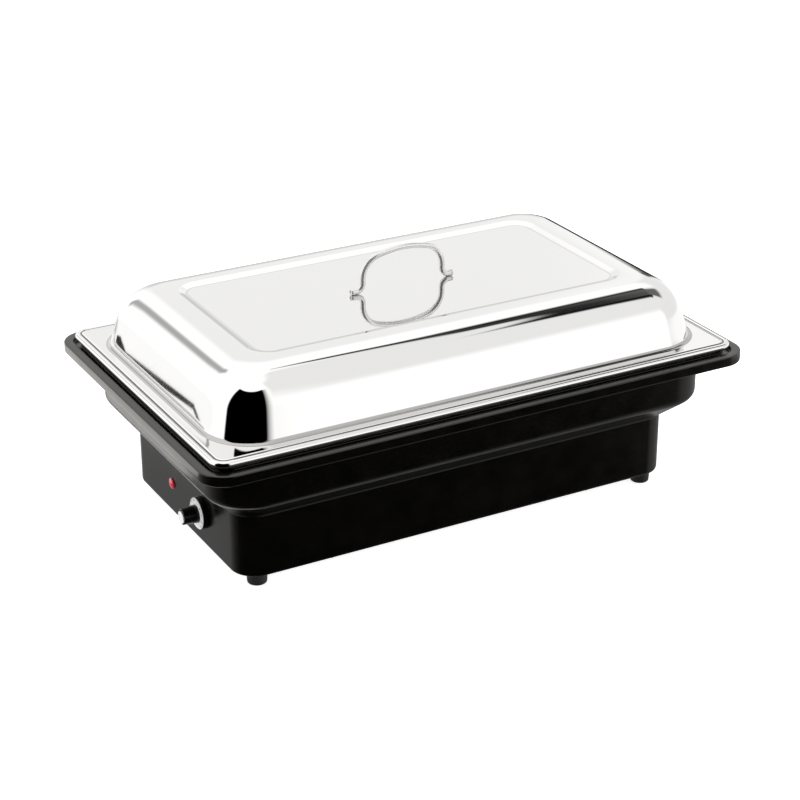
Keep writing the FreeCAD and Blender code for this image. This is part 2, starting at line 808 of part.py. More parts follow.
def lid_levels(inward):
    """The dome's level outlines, from its base up: a tapered wall, then an arc to the top.

    inward is how far inside the outer face the outlines lie.
    """
    taper = math.radians(size("lid_taper"))
    radius = size("lid_shoulder_radius") - inward
    base, top = size("lid_base"), size("lid_top") - size("lid_crown") - inward
    arc_start = top - radius + radius * math.sin(taper)
    lean = (arc_start - base) * math.tan(taper)
    points = [(inward, base), (inward + lean, arc_start)]
    steps = 8
    for step in range(1, steps + 1):
        angle = taper + (math.pi / 2 - taper) * step / steps
        run = radius * (math.cos(taper) - math.cos(angle))
        rise = radius * (math.sin(angle) - math.sin(taper))
        points.append((inward + lean + run, arc_start + rise))
    outlines = []
    for inset, height in points:
        corner = max(size("lid_corner") - 0.62 * inset, 2.0)
        length = size("lid_length") - 2 * inset
        width = size("lid_width") - 2 * inset
        outlines.append((length, width, corner, height))
    outlines.append((size("panel_length"), size("panel_width"), size("panel_corner"), size("lid_top") - inward))
    return outlines


def lid_shell():
    """The domed lid, with a sunk top panel, a flat flange and a rolled edge."""
    sheet_thickness = size("sheet")
    solids = []
    for inward in (0.0, sheet_thickness):
        wires = [rounded_wire(*outline) for outline in lid_levels(inward)]
        if inward:
            length, width, corner, height = lid_levels(inward)[0]
            wires.insert(0, rounded_wire(length, width, corner, height - 2 * sheet_thickness))
        step = size("panel_step")
        floor = size("lid_top") - size("panel_depth") - inward
        sunk = (size("panel_length") - 2 * step, size("panel_width") - 2 * step, size("panel_corner") - step)
        top = rounded_wire(size("panel_length"), size("panel_width"), size("panel_corner"),
                           size("lid_top") - inward)
        recess = Part.makeLoft([rounded_wire(*sunk, floor), top], True, True)
        solids.append(Part.makeLoft(wires, True, True).cut(recess))
    dome = solids[0]
    hollow = solids[1]

    roll = size("lid_roll") / 2
    flange_bottom = size("lid_base") - sheet_thickness
    outer = (size("lid_flange_length") - 2 * roll, size("lid_flange_width") - 2 * roll,
             size("lid_flange_corner") - roll)
    flange = Part.Face(rounded_wire(*outer, flange_bottom)).extrude(Vector(0, 0, sheet_thickness))
    spine = rounded_wire(*outer, size("lid_edge") + roll)
    start = spine.Edges[1].valueAt(spine.Edges[1].FirstParameter)
    direction = spine.Edges[1].tangentAt(spine.Edges[1].FirstParameter)
    ordered = Part.Wire(spine.Edges[1:] + spine.Edges[:1])
    profile = Part.Wire(Part.makeCircle(roll, start, direction))
    bead = ordered.makePipeShell([profile], True, False)
    shape_part("lid_shell", dome.fuse([flange, bead]).cut(hollow).removeSplitter())


def lid_handle():
    """A bent wire bail that stands on the sunk panel, its two short feet spot-welded flat."""
    radius = size("wire_radius")
    foot_level = size("lid_top") - size("panel_depth") + radius
    foot, leg, bend = size("handle_foot"), size("handle_leg"), size("handle_bend")
    shoulder, crown, top = size("handle_shoulder"), size("handle_crown"), size("handle_top")
    crown_centre = top - crown
    shoulder_x = leg - shoulder
    shoulder_z = crown_centre + math.sqrt((crown - shoulder) ** 2 - shoulder_x ** 2)
    lean = math.atan2(shoulder_x, shoulder_z - crown_centre)

    def point(side, x, z):
        return Vector(side * x, size("handle_y"), z)

    def half(side):
        bend_x = leg + bend
        diagonal = bend * math.sqrt(0.5)
        bend_mid = (bend_x - diagonal, foot_level + bend - diagonal)
        middle = math.radians(90) / 2 + lean / 2
        shoulder_mid = (shoulder_x + shoulder * math.cos(middle), shoulder_z + shoulder * math.sin(middle))
        crown_start = (crown * math.sin(lean), crown_centre + crown * math.cos(lean))
        return [
            Part.LineSegment(point(side, foot, foot_level), point(side, bend_x, foot_level)),
            Part.Arc(point(side, bend_x, foot_level), point(side, *bend_mid),
                     point(side, leg, foot_level + bend)),
            Part.LineSegment(point(side, leg, foot_level + bend), point(side, leg, shoulder_z)),
            Part.Arc(point(side, leg, shoulder_z), point(side, *shoulder_mid), point(side, *crown_start)),
        ]

    end = crown * math.sin(lean), crown_centre + crown * math.cos(lean)
    over = Part.Arc(point(-1, *end), point(1, 0, top), point(1, *end))
    left = [curve.toShape() for curve in half(-1)]
    right = [curve.toShape() for curve in half(1)]
    path = Part.Wire(Part.__sortEdges__(left + [over.toShape()] + right))
    shape_part("lid_handle", tube(path, radius))


# ---------------------------------------------------------------- knob and thermostat

FACE = "- box_length / 2"
BACK_OF_FACE = "- box_length / 2 + wall"


def knob():
    """Dial skirt, printed ring, tapered grip, end cap and the spindle that they turn."""
    skirt_back = FACE + " - knob_gap"
    skirt_front = skirt_back + " - skirt_depth"
    skirt = cylinder("skirt_disc", "skirt_radius", "skirt_depth", (skirt_back, "knob_y", "knob_z"), "-X")
    hollow = cylinder("skirt_hollow", "skirt_bore", "skirt_depth - skirt_web",
                      (skirt_back, "knob_y", "knob_z"), "-X")
    bore = cylinder("skirt_spindle_bore", "spindle_radius", "skirt_depth + 2",
                    (skirt_back + " + 1", "knob_y", "knob_z"), "-X")
    keep(cut("skirt_cut", cut("skirt_cup", skirt, hollow), bore), "dial_skirt")

    ring = cylinder("ring_disc", "ring_radius", "ring_thickness", (skirt_front, "knob_y", "knob_z"), "-X")
    eye = cylinder("ring_eye", "ring_inner", "ring_thickness + 2",
                   (skirt_front + " + 1", "knob_y", "knob_z"), "-X")
    keep(cut("ring_cut", ring, eye), "dial_ring")

    grip = cone("grip_cone", "ring_inner", "grip_tip", "grip_length",
                (skirt_front, "knob_y", "knob_z"), "-X")
    well = cylinder("grip_well", "spindle_radius", "spindle_length",
                    (skirt_front + " - grip_length + 4 + spindle_length", "knob_y", "knob_z"), "-X")
    keep(cut("grip_cut", grip, well), "knob_grip")

    cap_back = skirt_front + " - grip_length"
    keep(cylinder("cap_disc", "cap_radius", "cap_thickness", (cap_back, "knob_y", "knob_z"), "-X"), "knob_cap")

    spindle_tip = cap_back + " + 4"
    keep(cylinder("spindle_rod", "spindle_radius", "spindle_length", (spindle_tip, "knob_y", "knob_z"), "+X"),
         "thermostat_spindle")


def thermostat():
    """The capillary thermostat behind the wall: plate, case, tabs and two fixing screws."""
    plate = block("stat_plate_block", ("stat_plate", "stat_plate_size", "stat_plate_size"),
                  BACK_OF_FACE + " + stat_plate / 2", "knob_y", "knob_z - stat_plate_size / 2")
    case = block("stat_case_block", ("stat_depth", "stat_size", "stat_size"),
                 BACK_OF_FACE + " + stat_plate + stat_depth / 2", "knob_y", "knob_z - stat_size / 2")
    bore = cylinder("stat_bore", "spindle_radius + spindle_clearance", "stat_depth",
                    (BACK_OF_FACE + " - 1", "knob_y", "knob_z"), "+X")
    solid = cut("stat_bored", fuse("stat_solid", [plate, case]), bore)
    for number, side in enumerate(("-", "+")):
        hole = cylinder("stat_hole%d" % number, "stud_radius", "8",
                        (BACK_OF_FACE + " - 1", "knob_y " + side + " stat_screw_pitch", "knob_z"), "+X")
        solid = cut("stat_cut%d" % number, solid, hole)
    keep(solid, "thermostat_body")
    group("thermostat_screws", [
        screw("stat_screw%d" % number, (FACE, "knob_y " + side + " stat_screw_pitch", "knob_z"),
              "+X", "stat_screw_head", "stat_screw_head_height", "stud_radius", "stat_screw_length")
        for number, side in enumerate(("-", "+"))])
    tab_x = BACK_OF_FACE + " + stat_plate + stat_depth + 4"
    group("thermostat_tabs", [
        block("stat_tab%d" % number, ("stat_tab_length", "wide_tab", "tab_thickness"), tab_x,
              "knob_y " + side + " stat_tab_pitch", "knob_z - stat_tab_drop")
        for number, side in enumerate(("-", "+"))])


def capillary():
    """The sensing bulb clipped under the water bath and the thin tube to the thermostat."""
    under = size("bath_bottom")
    level = under - size("bulb_radius") - 0.3
    start = -size("box_length") / 2 + size("wall") + size("stat_plate") + size("stat_depth")
    bulb_y = size("bulb_y")
    route = [
        (start, bulb_y, 56.0),
        (start + 12.0, bulb_y, 57.0),
        (start + 28.0, bulb_y, 65.0),
        (start + 46.0, bulb_y, 71.5),
        (-130.0, bulb_y, level),
        (-112.0, bulb_y, level),
    ]
    path, radii = bent_path(route)
    shape_part("thermostat_capillary", tube(path, size("capillary_radius")))
    report("thermostat_capillary", radii)
    bulb_at = ("- 112", "bulb_y", "bath_bottom - bulb_radius - 0.3")
    keep(cylinder("bulb_rod", "bulb_radius", "bulb_length", bulb_at, "+X"), "thermostat_bulb")
    clips = []
    for number, x in enumerate(("- 76", "- 50")):
        saddle = block("clip%d_block" % number, ("clip_length", "clip_width", "clip_height"), x, "bulb_y",
                       "bath_bottom - clip_height")
        hole = cylinder("clip%d_bore" % number, "bulb_radius", "10", (x + " - 5",) + bulb_at[1:], "+X")
        clips.append(cut("bulb_clip%d" % number, saddle, hole))
    group("bulb_clips", clips)


# ---------------------------------------------------------------- lamp and inlet

def lamp():
    """The red indicator: lens outside, body through the wall, ring nut and two tabs inside."""
    centre = ("lamp_y", "lamp_z")
    dome = cone("lens_cone", "lens_radius", "lens_radius - 1.3", "lens_height", (FACE,) + centre, "-X")
    keep(dome, "indicator_lens")
    keep(cylinder("lamp_barrel", "lamp_radius", "lamp_length", (FACE,) + centre, "+X"), "indicator_body")
    nut = prism("lamp_nut_hex", 6, "lamp_nut_radius", "lamp_nut_thickness", (BACK_OF_FACE,) + centre, "+X")
    hole = cylinder("lamp_nut_bore", "lamp_radius", "lamp_nut_thickness", (BACK_OF_FACE,) + centre, "+X")
    keep(cut("lamp_nut_cut", nut, hole), "indicator_nut")
    group("indicator_tabs", [
        block("lamp_tab%d" % number, ("lamp_tab_length", "tab_thickness", "narrow_tab"),
              FACE + " + lamp_length + 3.5",
              "lamp_y " + side + " 2.4", "lamp_z - 1.4")
        for number, side in enumerate(("-", "+"))])


def inlet():
    """The mains appliance inlet in the rear wall: shell, three pins, tabs and two screws."""
    body = new_body("mains_inlet")
    at = ("inlet_x", "inlet_z")
    flange = new_sketch(body, "inlet_flange_outline", "XZ_Plane", "- box_width / 2")
    add_rectangle(flange, "flange", "inlet_flange_length", "inlet_flange_height", "5", at)
    extrude(body, "Pad", flange, "inlet_flange", True)
    case = new_sketch(body, "inlet_case", "XZ_Plane", "- box_width / 2")
    add_rectangle(case, "case", "inlet_length - 0.4", "inlet_height - 0.4", "2.8", at)
    extrude(body, "Pad", case, "inlet_depth")
    mouth = new_sketch(body, "inlet_mouth", "XZ_Plane", "- box_width / 2 - inlet_flange")
    add_rectangle(mouth, "mouth", "inlet_mouth_length", "inlet_mouth_height", "3", at)
    extrude(body, "Pocket", mouth, "inlet_mouth_depth", True)
    fixings = new_sketch(body, "inlet_fixings", "XZ_Plane", "- box_width / 2 - inlet_flange")
    for number, side in enumerate(("-", "+")):
        add_circle(fixings, "fixing%d" % number, "boss_hole_radius",
                   ("inlet_x " + side + " inlet_screw_pitch / 2", "inlet_z"))
    extrude(body, "Pocket", fixings, "inlet_flange + 1", True)

    floor = "box_width / 2 + inlet_flange - inlet_mouth_depth"
    pins = []
    for number, (across, up) in enumerate(INLET_PINS):
        pins.append(block("inlet_pin%d" % number, ("pin_thickness", "pin_length", "pin_height"),
                          "inlet_x + " + across,
                          floor + " + 7", "inlet_z + %s - 2" % up))
    group("inlet_pins", pins)
    tabs = []
    for number, (across, up) in enumerate(INLET_PINS):
        tabs.append(block("inlet_tab%d" % number, ("tab_thickness", "inlet_tab_length", "inlet_tab"),
                          "inlet_x + " + across,
                          "box_width / 2 - inlet_depth - 4.5", "inlet_z + %s - 2.4" % up))
    group("inlet_tabs", tabs)
    group("inlet_screws", [
        screw("inlet_screw%d" % number,
              ("inlet_x " + side + " inlet_screw_pitch / 2", "box_width / 2 + inlet_flange", "inlet_z"),
              "-Y", "inlet_screw_head", "inlet_screw_head_height", "boss_hole_radius", "inlet_screw_length")
        for number, side in enumerate(("-", "+"))])


INLET_PINS = [("- 7", "- 2"), ("7", "- 2"), ("0", "2")]


# ---------------------------------------------------------------- heater and shield

def heater():
    """The tubular element: four legs joined by three half turns under the bath's floor."""
    pitch = size("heater_pitch")
    level = size("bath_bottom") - size("heater_drop") - size("heater_radius")
    left, right = size("heater_turn_left"), size("heater_turn_right")
    start = size("heater_start")
    legs = [-1.5 * pitch, -0.5 * pitch, 0.5 * pitch, 1.5 * pitch]
    edges = []

    def straight(x0, x1, y):
        edges.append(Part.LineSegment(Vector(x0, y, level), Vector(x1, y, level)).toShape())

    def turn(x, y0, y1, bulge):
        middle = Vector(x + bulge * pitch / 2, (y0 + y1) / 2, level)
        edges.append(Part.Arc(Vector(x, y0, level), middle, Vector(x, y1, level)).toShape())

    straight(start, right, legs[0])
    turn(right, legs[0], legs[1], 1)
    straight(right, left, legs[1])
    turn(left, legs[1], legs[2], -1)
    straight(left, right, legs[2])
    turn(right, legs[2], legs[3], 1)
    straight(right, start, legs[3])
    shape_part("heating_element", tube(Part.Wire(edges), size("heater_radius")))

    centre = "bath_bottom - heater_drop - heater_radius"
    ends = ("- 1.5 * heater_pitch", "1.5 * heater_pitch")
    group("element_insulators", [
        cone("element_bead%d" % number, "heater_radius", "bead_tip", "bead_length",
             ("heater_start", y, centre), "-X")
        for number, y in enumerate(ends)])
    group("element_terminals", [
        block("element_tab%d" % number, ("tab_thickness", "wide_tab", "element_tab_length"),
              "heater_start - 6.4", y, centre + " - 11")
        for number, y in enumerate(ends)])


STRAPS = ["- 90", "20", "120"]
STRAP_SIDES = ["- heater_pitch", "heater_pitch"]
STRAP_STUDS = [(x, y) for x in STRAPS for y in STRAP_SIDES]


def heater_fixings():
    """Flat straps under the element, held by studs welded to the bath and by nuts."""
    tube_bottom = "bath_bottom - heater_drop - 2 * heater_radius"
    strap_bottom = tube_bottom + " - 0.1 - strap_thickness"
    straps = []
    for number, x in enumerate(STRAPS):
        strap = block("strap%d_bar" % number, ("strap_width", "strap_length", "strap_thickness"),
                      x, "0", strap_bottom)
        for end, y in enumerate(STRAP_SIDES):
            tag = "%d_%d" % (number, end)
            hole = cylinder("strap_hole" + tag, "stud_radius + 0.1",
                            "strap_thickness + 2", (x, y, strap_bottom + " - 1"))
            strap = cut("strap_cut" + tag, strap, hole)
        straps.append(strap)
    group("heater_straps", straps)

    stud_bottom = strap_bottom + " - nut_height - 0.8"
    group("heater_studs", [
        cylinder("strap_stud%d" % number, "stud_radius",
                 "bath_bottom - ( " + stud_bottom + " )", (x, y, stud_bottom))
        for number, (x, y) in enumerate(STRAP_STUDS)])
    group("heater_nuts", [
        ring_nut("strap_nut%d" % number, (x, y, strap_bottom + " - nut_height"))
        for number, (x, y) in enumerate(STRAP_STUDS)])


def ring_nut(name, at):
    """A hexagon nut whose bore fits its stud."""
    outer = prism(name + "_hex", 6, "nut_radius", "nut_height", at)
    hole = cylinder(name + "_bore", "stud_radius", "nut_height", at)
    return cut(name, outer, hole)


SHIELD_STUDS = [("shield_x " + a + " shield_stud_x", b + " shield_stud_y")
                for a in ("-", "+") for b in ("-", "")]


def shield():
    """The reflector plate with its insulating mat, hung from four long studs with spacers."""
    body = new_body("heat_shield")
    at = ("shield_x", "0")
    outline = new_sketch(body, "shield_outline", "XY_Plane", "shield_bottom")
    add_rectangle(outline, "plate", "shield_length", "shield_width", "shield_corner", at)
    extrude(body, "Pad", outline, "sheet")
    holes = new_sketch(body, "shield_holes", "XY_Plane", "shield_bottom + sheet")
    for number, spot in enumerate(SHIELD_STUDS):
        add_circle(holes, "hole%d" % number, "stud_radius + 0.1", spot)
    extrude(body, "Pocket", holes, "sheet")

    mat = new_body("insulation_mat")
    outline = new_sketch(mat, "mat_outline", "XY_Plane", "shield_bottom + sheet")
    add_rectangle(outline, "mat", "shield_length - 8", "shield_width - 34", "8", at)
    extrude(mat, "Pad", outline, "mat_thickness")

    stud_bottom = "shield_bottom - nut_height - 1"
    group("shield_studs", [
        cylinder("shield_stud%d" % number, "stud_radius", "bath_bottom - ( " + stud_bottom + " )",
                 (x, y, stud_bottom))
        for number, (x, y) in enumerate(SHIELD_STUDS)])
    spacers = []
    for number, (x, y) in enumerate(SHIELD_STUDS):
        seat = (x, y, "shield_bottom + sheet")
        length = "bath_bottom - shield_bottom - sheet"
        outer = cylinder("spacer%d_tube" % number, "spacer_radius", length, seat)
        hole = cylinder("spacer%d_bore" % number, "stud_radius", length, seat)
        spacers.append(cut("spacer%d" % number, outer, hole))
    group("shield_spacers", spacers)
    group("shield_nuts", [
        ring_nut("shield_nut%d" % number, (x, y, "shield_bottom - nut_height"))
        for number, (x, y) in enumerate(SHIELD_STUDS)])


def cutout():
    """The snap-disc thermal cut-out on the bath's floor, inside the element's left turn."""
    x, y = "- 122", "0"
    can = cylinder("cutout_can", "cutout_radius", "cutout_height", (x, y, "bath_bottom - cutout_height"))
    ears = block("cutout_ears", ("ear_width", "ear_span", "sheet"), x, y, "bath_bottom - sheet")
    keep(fuse("cutout_fused", [can, ears]), "thermal_cutout")
    group("cutout_tabs", [
        block("cutout_tab%d" % number, ("cutout_tab_length", "inlet_tab", "tab_thickness"),
              x + " - 11.6", side + " 6", "bath_bottom - 9.2")
        for number, side in enumerate(("-", ""))])


# ---------------------------------------------------------------- wiring

def terminal_block():
    block_at = ("- 118", "66")
    base = block("terminal_base", ("terminal_length", "terminal_width", "terminal_step"),
                 *block_at, "foot_height + plate_thickness")
    ridge = block("terminal_ridge", ("terminal_length", "ridge_width", "terminal_height"),
                  *block_at, "foot_height + plate_thickness")
    keep(fuse("terminal_fused", [base, ridge]), "terminal_block")
    group("terminal_screws", [
        cylinder("terminal_screw%d" % number, "2.6", "1.6",
                 ("- 118 " + side + " 8", "66", "foot_height + plate_thickness + 15"))
        for number, side in enumerate(("-", "+"))])


def earth_stud():
    plate_top = "foot_height + plate_thickness"
    stud = cylinder("earth_rod", "stud_radius", "earth_length", ("- 182", "92", plate_top))
    base = cylinder("earth_collar", "4", "2", ("- 182", "92", plate_top))
    keep(fuse("earth_fused", [stud, base]), "earth_stud")
    group("earth_nut", [ring_nut("earth_hex", ("- 182", "92", plate_top + " + 5"))])


def leads():
    """Insulated leads between the inlet, thermostat, cut-out, lamp, block and element."""
    gap = 0.2
    case_back = -size("box_length") / 2 + size("wall") + size("stat_plate") + size("stat_depth")
    tab_x, tab_level = case_back + 8.0 + gap, size("knob_z") - 8.0
    knob_y = size("knob_y")
    heater_x, heater_y = size("heater_start") - 6.4, 1.5 * size("heater_pitch")
    element_low = size("bath_bottom") - size("heater_drop") - size("heater_radius") - 11.0 - gap
    inlet_x, inlet_z = size("inlet_x"), size("inlet_z")
    tab_back = size("box_width") / 2 - size("inlet_depth") - 9.0 - gap
    lamp_x = -size("box_length") / 2 + size("lamp_length") + 7.0 + gap
    lamp_y, lamp_z = size("lamp_y"), size("lamp_z")
    cutout_x, cutout_level = -138.1 - gap, size("bath_bottom") - 8.8
    block_x = -134.0 - gap
    routes = {
        "lead_live": [
            (inlet_x - 7, tab_back, inlet_z - 2), (inlet_x - 7, 86, inlet_z - 2), (-170, 48, 32),
            (-170, 8, 29), (-170, -32, 29), (-176, knob_y - 8, tab_level), (tab_x, knob_y - 8, tab_level)],
        "lead_neutral": [
            (inlet_x + 7, tab_back, inlet_z - 2), (inlet_x + 7, 88, inlet_z - 2), (-130, 91, 25),
            (-124, 90, 20), (-124, 78 + gap, 20)],
        "lead_earth": [
            (inlet_x, tab_back, inlet_z + 2), (inlet_x, 88, inlet_z + 2), (-170, 84, 43), (-182, 92, 39),
            (-182, 92, 26 + gap)],
        "lead_cutout_feed": [
            (tab_x, knob_y + 8, tab_level), (-182, knob_y + 8, tab_level), (-174, -22, 49),
            (-164, -4, 60), (-151, 6, cutout_level), (cutout_x, 6, cutout_level)],
        "lead_cutout_return": [
            (cutout_x, -6, cutout_level), (-150, -6, cutout_level), (-163, -34, 58), (-176, -58, 48),
            (heater_x, -heater_y, 46), (heater_x, -heater_y, element_low)],
        "lead_element": [
            (block_x, 70, 19), (-150, 70, 19), (-176, 73, 30), (heater_x, heater_y, 42),
            (heater_x, heater_y, element_low)],
        "lead_lamp_neutral": [
            (lamp_x, lamp_y + 2.4, lamp_z), (-192, lamp_y + 2.4, lamp_z), (-178, 44, 25),
            (-158, 60, 19), (block_x, 60, 19)],
        "lead_lamp_live": [
            (lamp_x, lamp_y - 2.4, lamp_z), (-193, lamp_y - 2.4, lamp_z), (-186, 6, 47), (-184, -14, 52),
            (-197, -30, 54), (-197, -31, tab_level + 0.4 + gap)],
    }
    for name, route in routes.items():
        path, radii = bent_path(route)
        shape_part(name, tube(path, size("lead_radius")))
        report(name, radii)


def report(name, radii):
    print(name, "bend radii", [round(radius, 1) for radius in radii])


# ---------------------------------------------------------------- build, check and write

base_housing()
base_plate()
feet()
underside_fasteners()
rim_seal()
water_bath()
food_pan()
lid_shell()
lid_handle()
knob()
thermostat()
capillary()
lamp()
inlet()
heater()
heater_fixings()
shield()
cutout()
terminal_block()
earth_stud()
leads()
doc.recompute()

for thing in doc.Objects:
    if "Invalid" in thing.State or "Error" in thing.State:
        raise RuntimeError("%s failed: %s" % (thing.Label, thing.State))

os.makedirs("parts", exist_ok=True)
for label in PART_LABELS:
    part = doc.getObjectsByLabel(label)[0]
    if part.Shape.isNull() or not part.Shape.isValid():
        raise RuntimeError(label + " has no valid shape")
    part.Shape.exportStep("parts/" + label + ".step")
    print(label, "solids", len(part.Shape.Solids), "volume", round(part.Shape.Volume, 1))
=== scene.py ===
import json
import math

import bmesh
import bpy
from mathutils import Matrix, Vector


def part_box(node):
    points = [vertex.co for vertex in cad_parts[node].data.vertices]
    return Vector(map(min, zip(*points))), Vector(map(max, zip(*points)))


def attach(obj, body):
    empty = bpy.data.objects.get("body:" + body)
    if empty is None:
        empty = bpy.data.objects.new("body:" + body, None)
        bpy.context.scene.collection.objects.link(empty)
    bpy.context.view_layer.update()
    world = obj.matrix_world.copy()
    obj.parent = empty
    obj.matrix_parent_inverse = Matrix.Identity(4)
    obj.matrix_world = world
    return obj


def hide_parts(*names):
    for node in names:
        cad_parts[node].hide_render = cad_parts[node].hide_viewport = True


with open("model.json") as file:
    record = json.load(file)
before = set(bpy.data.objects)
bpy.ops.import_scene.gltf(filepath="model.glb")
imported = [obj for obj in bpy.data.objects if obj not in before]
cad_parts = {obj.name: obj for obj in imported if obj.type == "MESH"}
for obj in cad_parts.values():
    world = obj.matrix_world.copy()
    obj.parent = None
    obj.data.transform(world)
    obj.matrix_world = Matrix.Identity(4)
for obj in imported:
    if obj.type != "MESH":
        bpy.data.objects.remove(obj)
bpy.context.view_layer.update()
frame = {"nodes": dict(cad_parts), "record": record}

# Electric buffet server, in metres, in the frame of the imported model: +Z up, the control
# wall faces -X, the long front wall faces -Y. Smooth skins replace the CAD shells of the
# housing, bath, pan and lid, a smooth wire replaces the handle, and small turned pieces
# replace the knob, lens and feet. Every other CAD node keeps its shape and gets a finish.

MM = 0.001
SCENE = bpy.context.scene


# ---------------------------------------------------------------- outlines and skins

CORNER_STEPS = 16
RUN_STEPS = 8
CAP_STEPS = 4


def outline(half_length, half_width, corner, height):
    """A level rectangle with round corners, as points that go round it anticlockwise."""
    corner = max(min(corner, half_length, half_width), 0.0002)
    inner_x, inner_y = half_length - corner, half_width - corner
    arcs = []
    for quarter, (sx, sy) in enumerate([(1, -1), (1, 1), (-1, 1), (-1, -1)]):
        arc = []
        for step in range(CORNER_STEPS + 1):
            angle = math.pi / 2 * (quarter - 1 + step / CORNER_STEPS)
            x = sx * inner_x + corner * math.cos(angle)
            y = sy * inner_y + corner * math.sin(angle)
            arc.append(Vector((x, y, height)))
        arcs.append(arc)
    points = []
    for quarter, arc in enumerate(arcs):
        points += arc
        following = arcs[(quarter + 1) % 4][0]
        points += [arc[-1].lerp(following, run / RUN_STEPS) for run in range(1, RUN_STEPS)]
    return points


def level(base, out, height, ease=0.0):
    """One corner of a section: a base outline grown outwards, at a height, eased by a radius."""
    half_length, half_width, corner = base
    return (half_length + out, half_width + out, max(corner + out, 0.0), height, ease)


def eased(section, closed, steps=5):
    """Round a section's corners: each becomes a short curve that starts its ease away."""
    result = []
    count = len(section)
    for number, point in enumerate(section):
        here, ease = Vector(point[:4]), point[4]
        ends = number in (0, count - 1) and not closed
        if ease <= 0 or ends:
            result.append(tuple(here))
            continue
        before = Vector(section[number - 1][:4])
        after = Vector(section[(number + 1) % count][:4])
        start = here.lerp(before, min(0.49, ease / span(before, here)))
        end = here.lerp(after, min(0.49, ease / span(after, here)))
        for step in range(steps + 1):
            t = step / steps
            result.append(tuple(start * (1 - t) ** 2 + here * 2 * t * (1 - t) + end * t ** 2))
    return result


def span(one, other):
    """Distance between two section corners, seen from the long side."""
    return max(math.hypot(one[1] - other[1], one[3] - other[3]), 1e-6)


def finish_mesh(name, verts, faces):
    """A smooth-shaded object from points and faces, its normals turned outwards."""
    mesh = bpy.data.meshes.new(name)
    mesh.from_pydata([tuple(v) for v in verts], [], faces)
    work = bmesh.new()
    work.from_mesh(mesh)
    bmesh.ops.remove_doubles(work, verts=work.verts, dist=1e-6)
    bmesh.ops.recalc_face_normals(work, faces=work.faces)
    work.to_mesh(mesh)
    work.free()
    mesh.shade_smooth()
    thing = bpy.data.objects.new(name, mesh)
    SCENE.collection.objects.link(thing)
    return thing


def skin(name, section, closed=True):
    """Sweep a section of level outlines into a skin: closed round, or open with flat ends."""
    rings = [outline(*point) for point in section]
    count = len(rings[0])
    verts = [point for ring in rings for point in ring]
    faces = []
    bands = len(rings) if closed else len(rings) - 1
    for band in range(bands):
        low, high = band * count, (band + 1) % len(rings) * count
        for k in range(count):
            after = (k + 1) % count
            faces.append((low + k, low + after, high + after, high + k))
    if not closed:
        faces.append(tuple(range(count)))
        last = (len(rings) - 1) * count
        faces.append(tuple(range(last, last + count)))
    return finish_mesh(name, verts, faces)


def turned(name, profile, origin, axis, steps=64):
    """A lathe-turned piece: (radius, distance) pairs along an axis from an origin."""
    axis = Vector(axis).normalized()
    across = axis.orthogonal().normalized()
    up = axis.cross(across)
    origin = Vector(origin)
    verts = []
    for radius, along in profile:
        for step in range(steps):
            angle = 2 * math.pi * step / steps
            spoke = across * math.cos(angle) + up * math.sin(angle)
            verts.append(origin + axis * along + spoke * max(radius, 1e-5))
    faces = []
    for band in range(len(profile) - 1):
        for step in range(steps):
            after = (step + 1) % steps
            low, high = band * steps, (band + 1) * steps
            faces.append((low + step, low + after, high + after, high + step))
    faces.append(tuple(range(steps)))
    last = (len(profile) - 1) * steps
    faces.append(tuple(range(last, last + steps)))
    return finish_mesh(name, verts, faces)


def rounded_profile(corners, steps=5):
    """Round the corners of a lathe profile given as (radius, distance, ease)."""
    result = []
    for number, (radius, along, ease) in enumerate(corners):
        here = Vector((radius, along))
        if ease <= 0 or number in (0, len(corners) - 1):
            result.append(tuple(here))
            continue
        before = Vector(corners[number - 1][:2])
        after = Vector(corners[number + 1][:2])
        start = here.lerp(before, min(0.49, ease / (before - here).length))
        end = here.lerp(after, min(0.49, ease / (after - here).length))
        for step in range(steps + 1):
            t = step / steps
            result.append(tuple(start * (1 - t) ** 2 + here * 2 * t * (1 - t) + end * t ** 2))
    return result


def crisp(thing, degrees=40):
    """Keep edges sharper than an angle sharp on a smooth-shaded object."""
    thing.data.set_sharp_from_angle(angle=math.radians(degrees))


def wire(name, points, radius, sides=20):
    """A round wire along points that lie in a plane facing Y.

    The first end is closed by a shallow cup, the last by a ring-shaped groove about a point.
    """
    first = (points[1] - points[0]).normalized()
    last = (points[-1] - points[-2]).normalized()
    cap = [math.pi / 2 * step / CAP_STEPS for step in range(CAP_STEPS)]
    stations = []
    for angle in cap:
        setback = first * radius * (math.cos(angle) - 1)
        stations.append((points[0] + setback, first, math.sin(angle)))
    for number, point in enumerate(points):
        before = points[max(number - 1, 0)]
        after = points[min(number + 1, len(points) - 1)]
        stations.append((point, (after - before).normalized(), 1.0))
    for angle in reversed(cap):
        setback = last * radius * (math.cos(angle) - 1)
        stations.append((points[-1] + setback, last, math.sin(angle)))
    side = Vector((0, 1, 0))
    verts, rings = [], []
    for centre, along, scale in stations:
        up = along.cross(side).normalized()
        rings.append(len(verts))
        for k in range(sides):
            angle = 2 * math.pi * k / sides
            spoke = side * math.cos(angle) + up * math.sin(angle)
            verts.append(centre + spoke * radius * max(scale, 0.02))
    faces = []
    for low, high in zip(rings, rings[1:]):
        for k in range(sides):
            after = (k + 1) % sides
            faces.append((low + k, low + after, high + after, high + k))
    faces.append(tuple(range(sides)))
    faces.append(tuple(range(rings[-1], rings[-1] + sides)))
    return finish_mesh(name, verts, faces)


def put(thing, body, material, nodes=()):
    """Give a new piece its finish, its body and the CAD nodes that it stands for."""
    thing.data.materials.append(material)
    if nodes:
        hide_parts(*nodes)
    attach(thing, body)
    return thing


# ---------------------------------------------------------------- materials

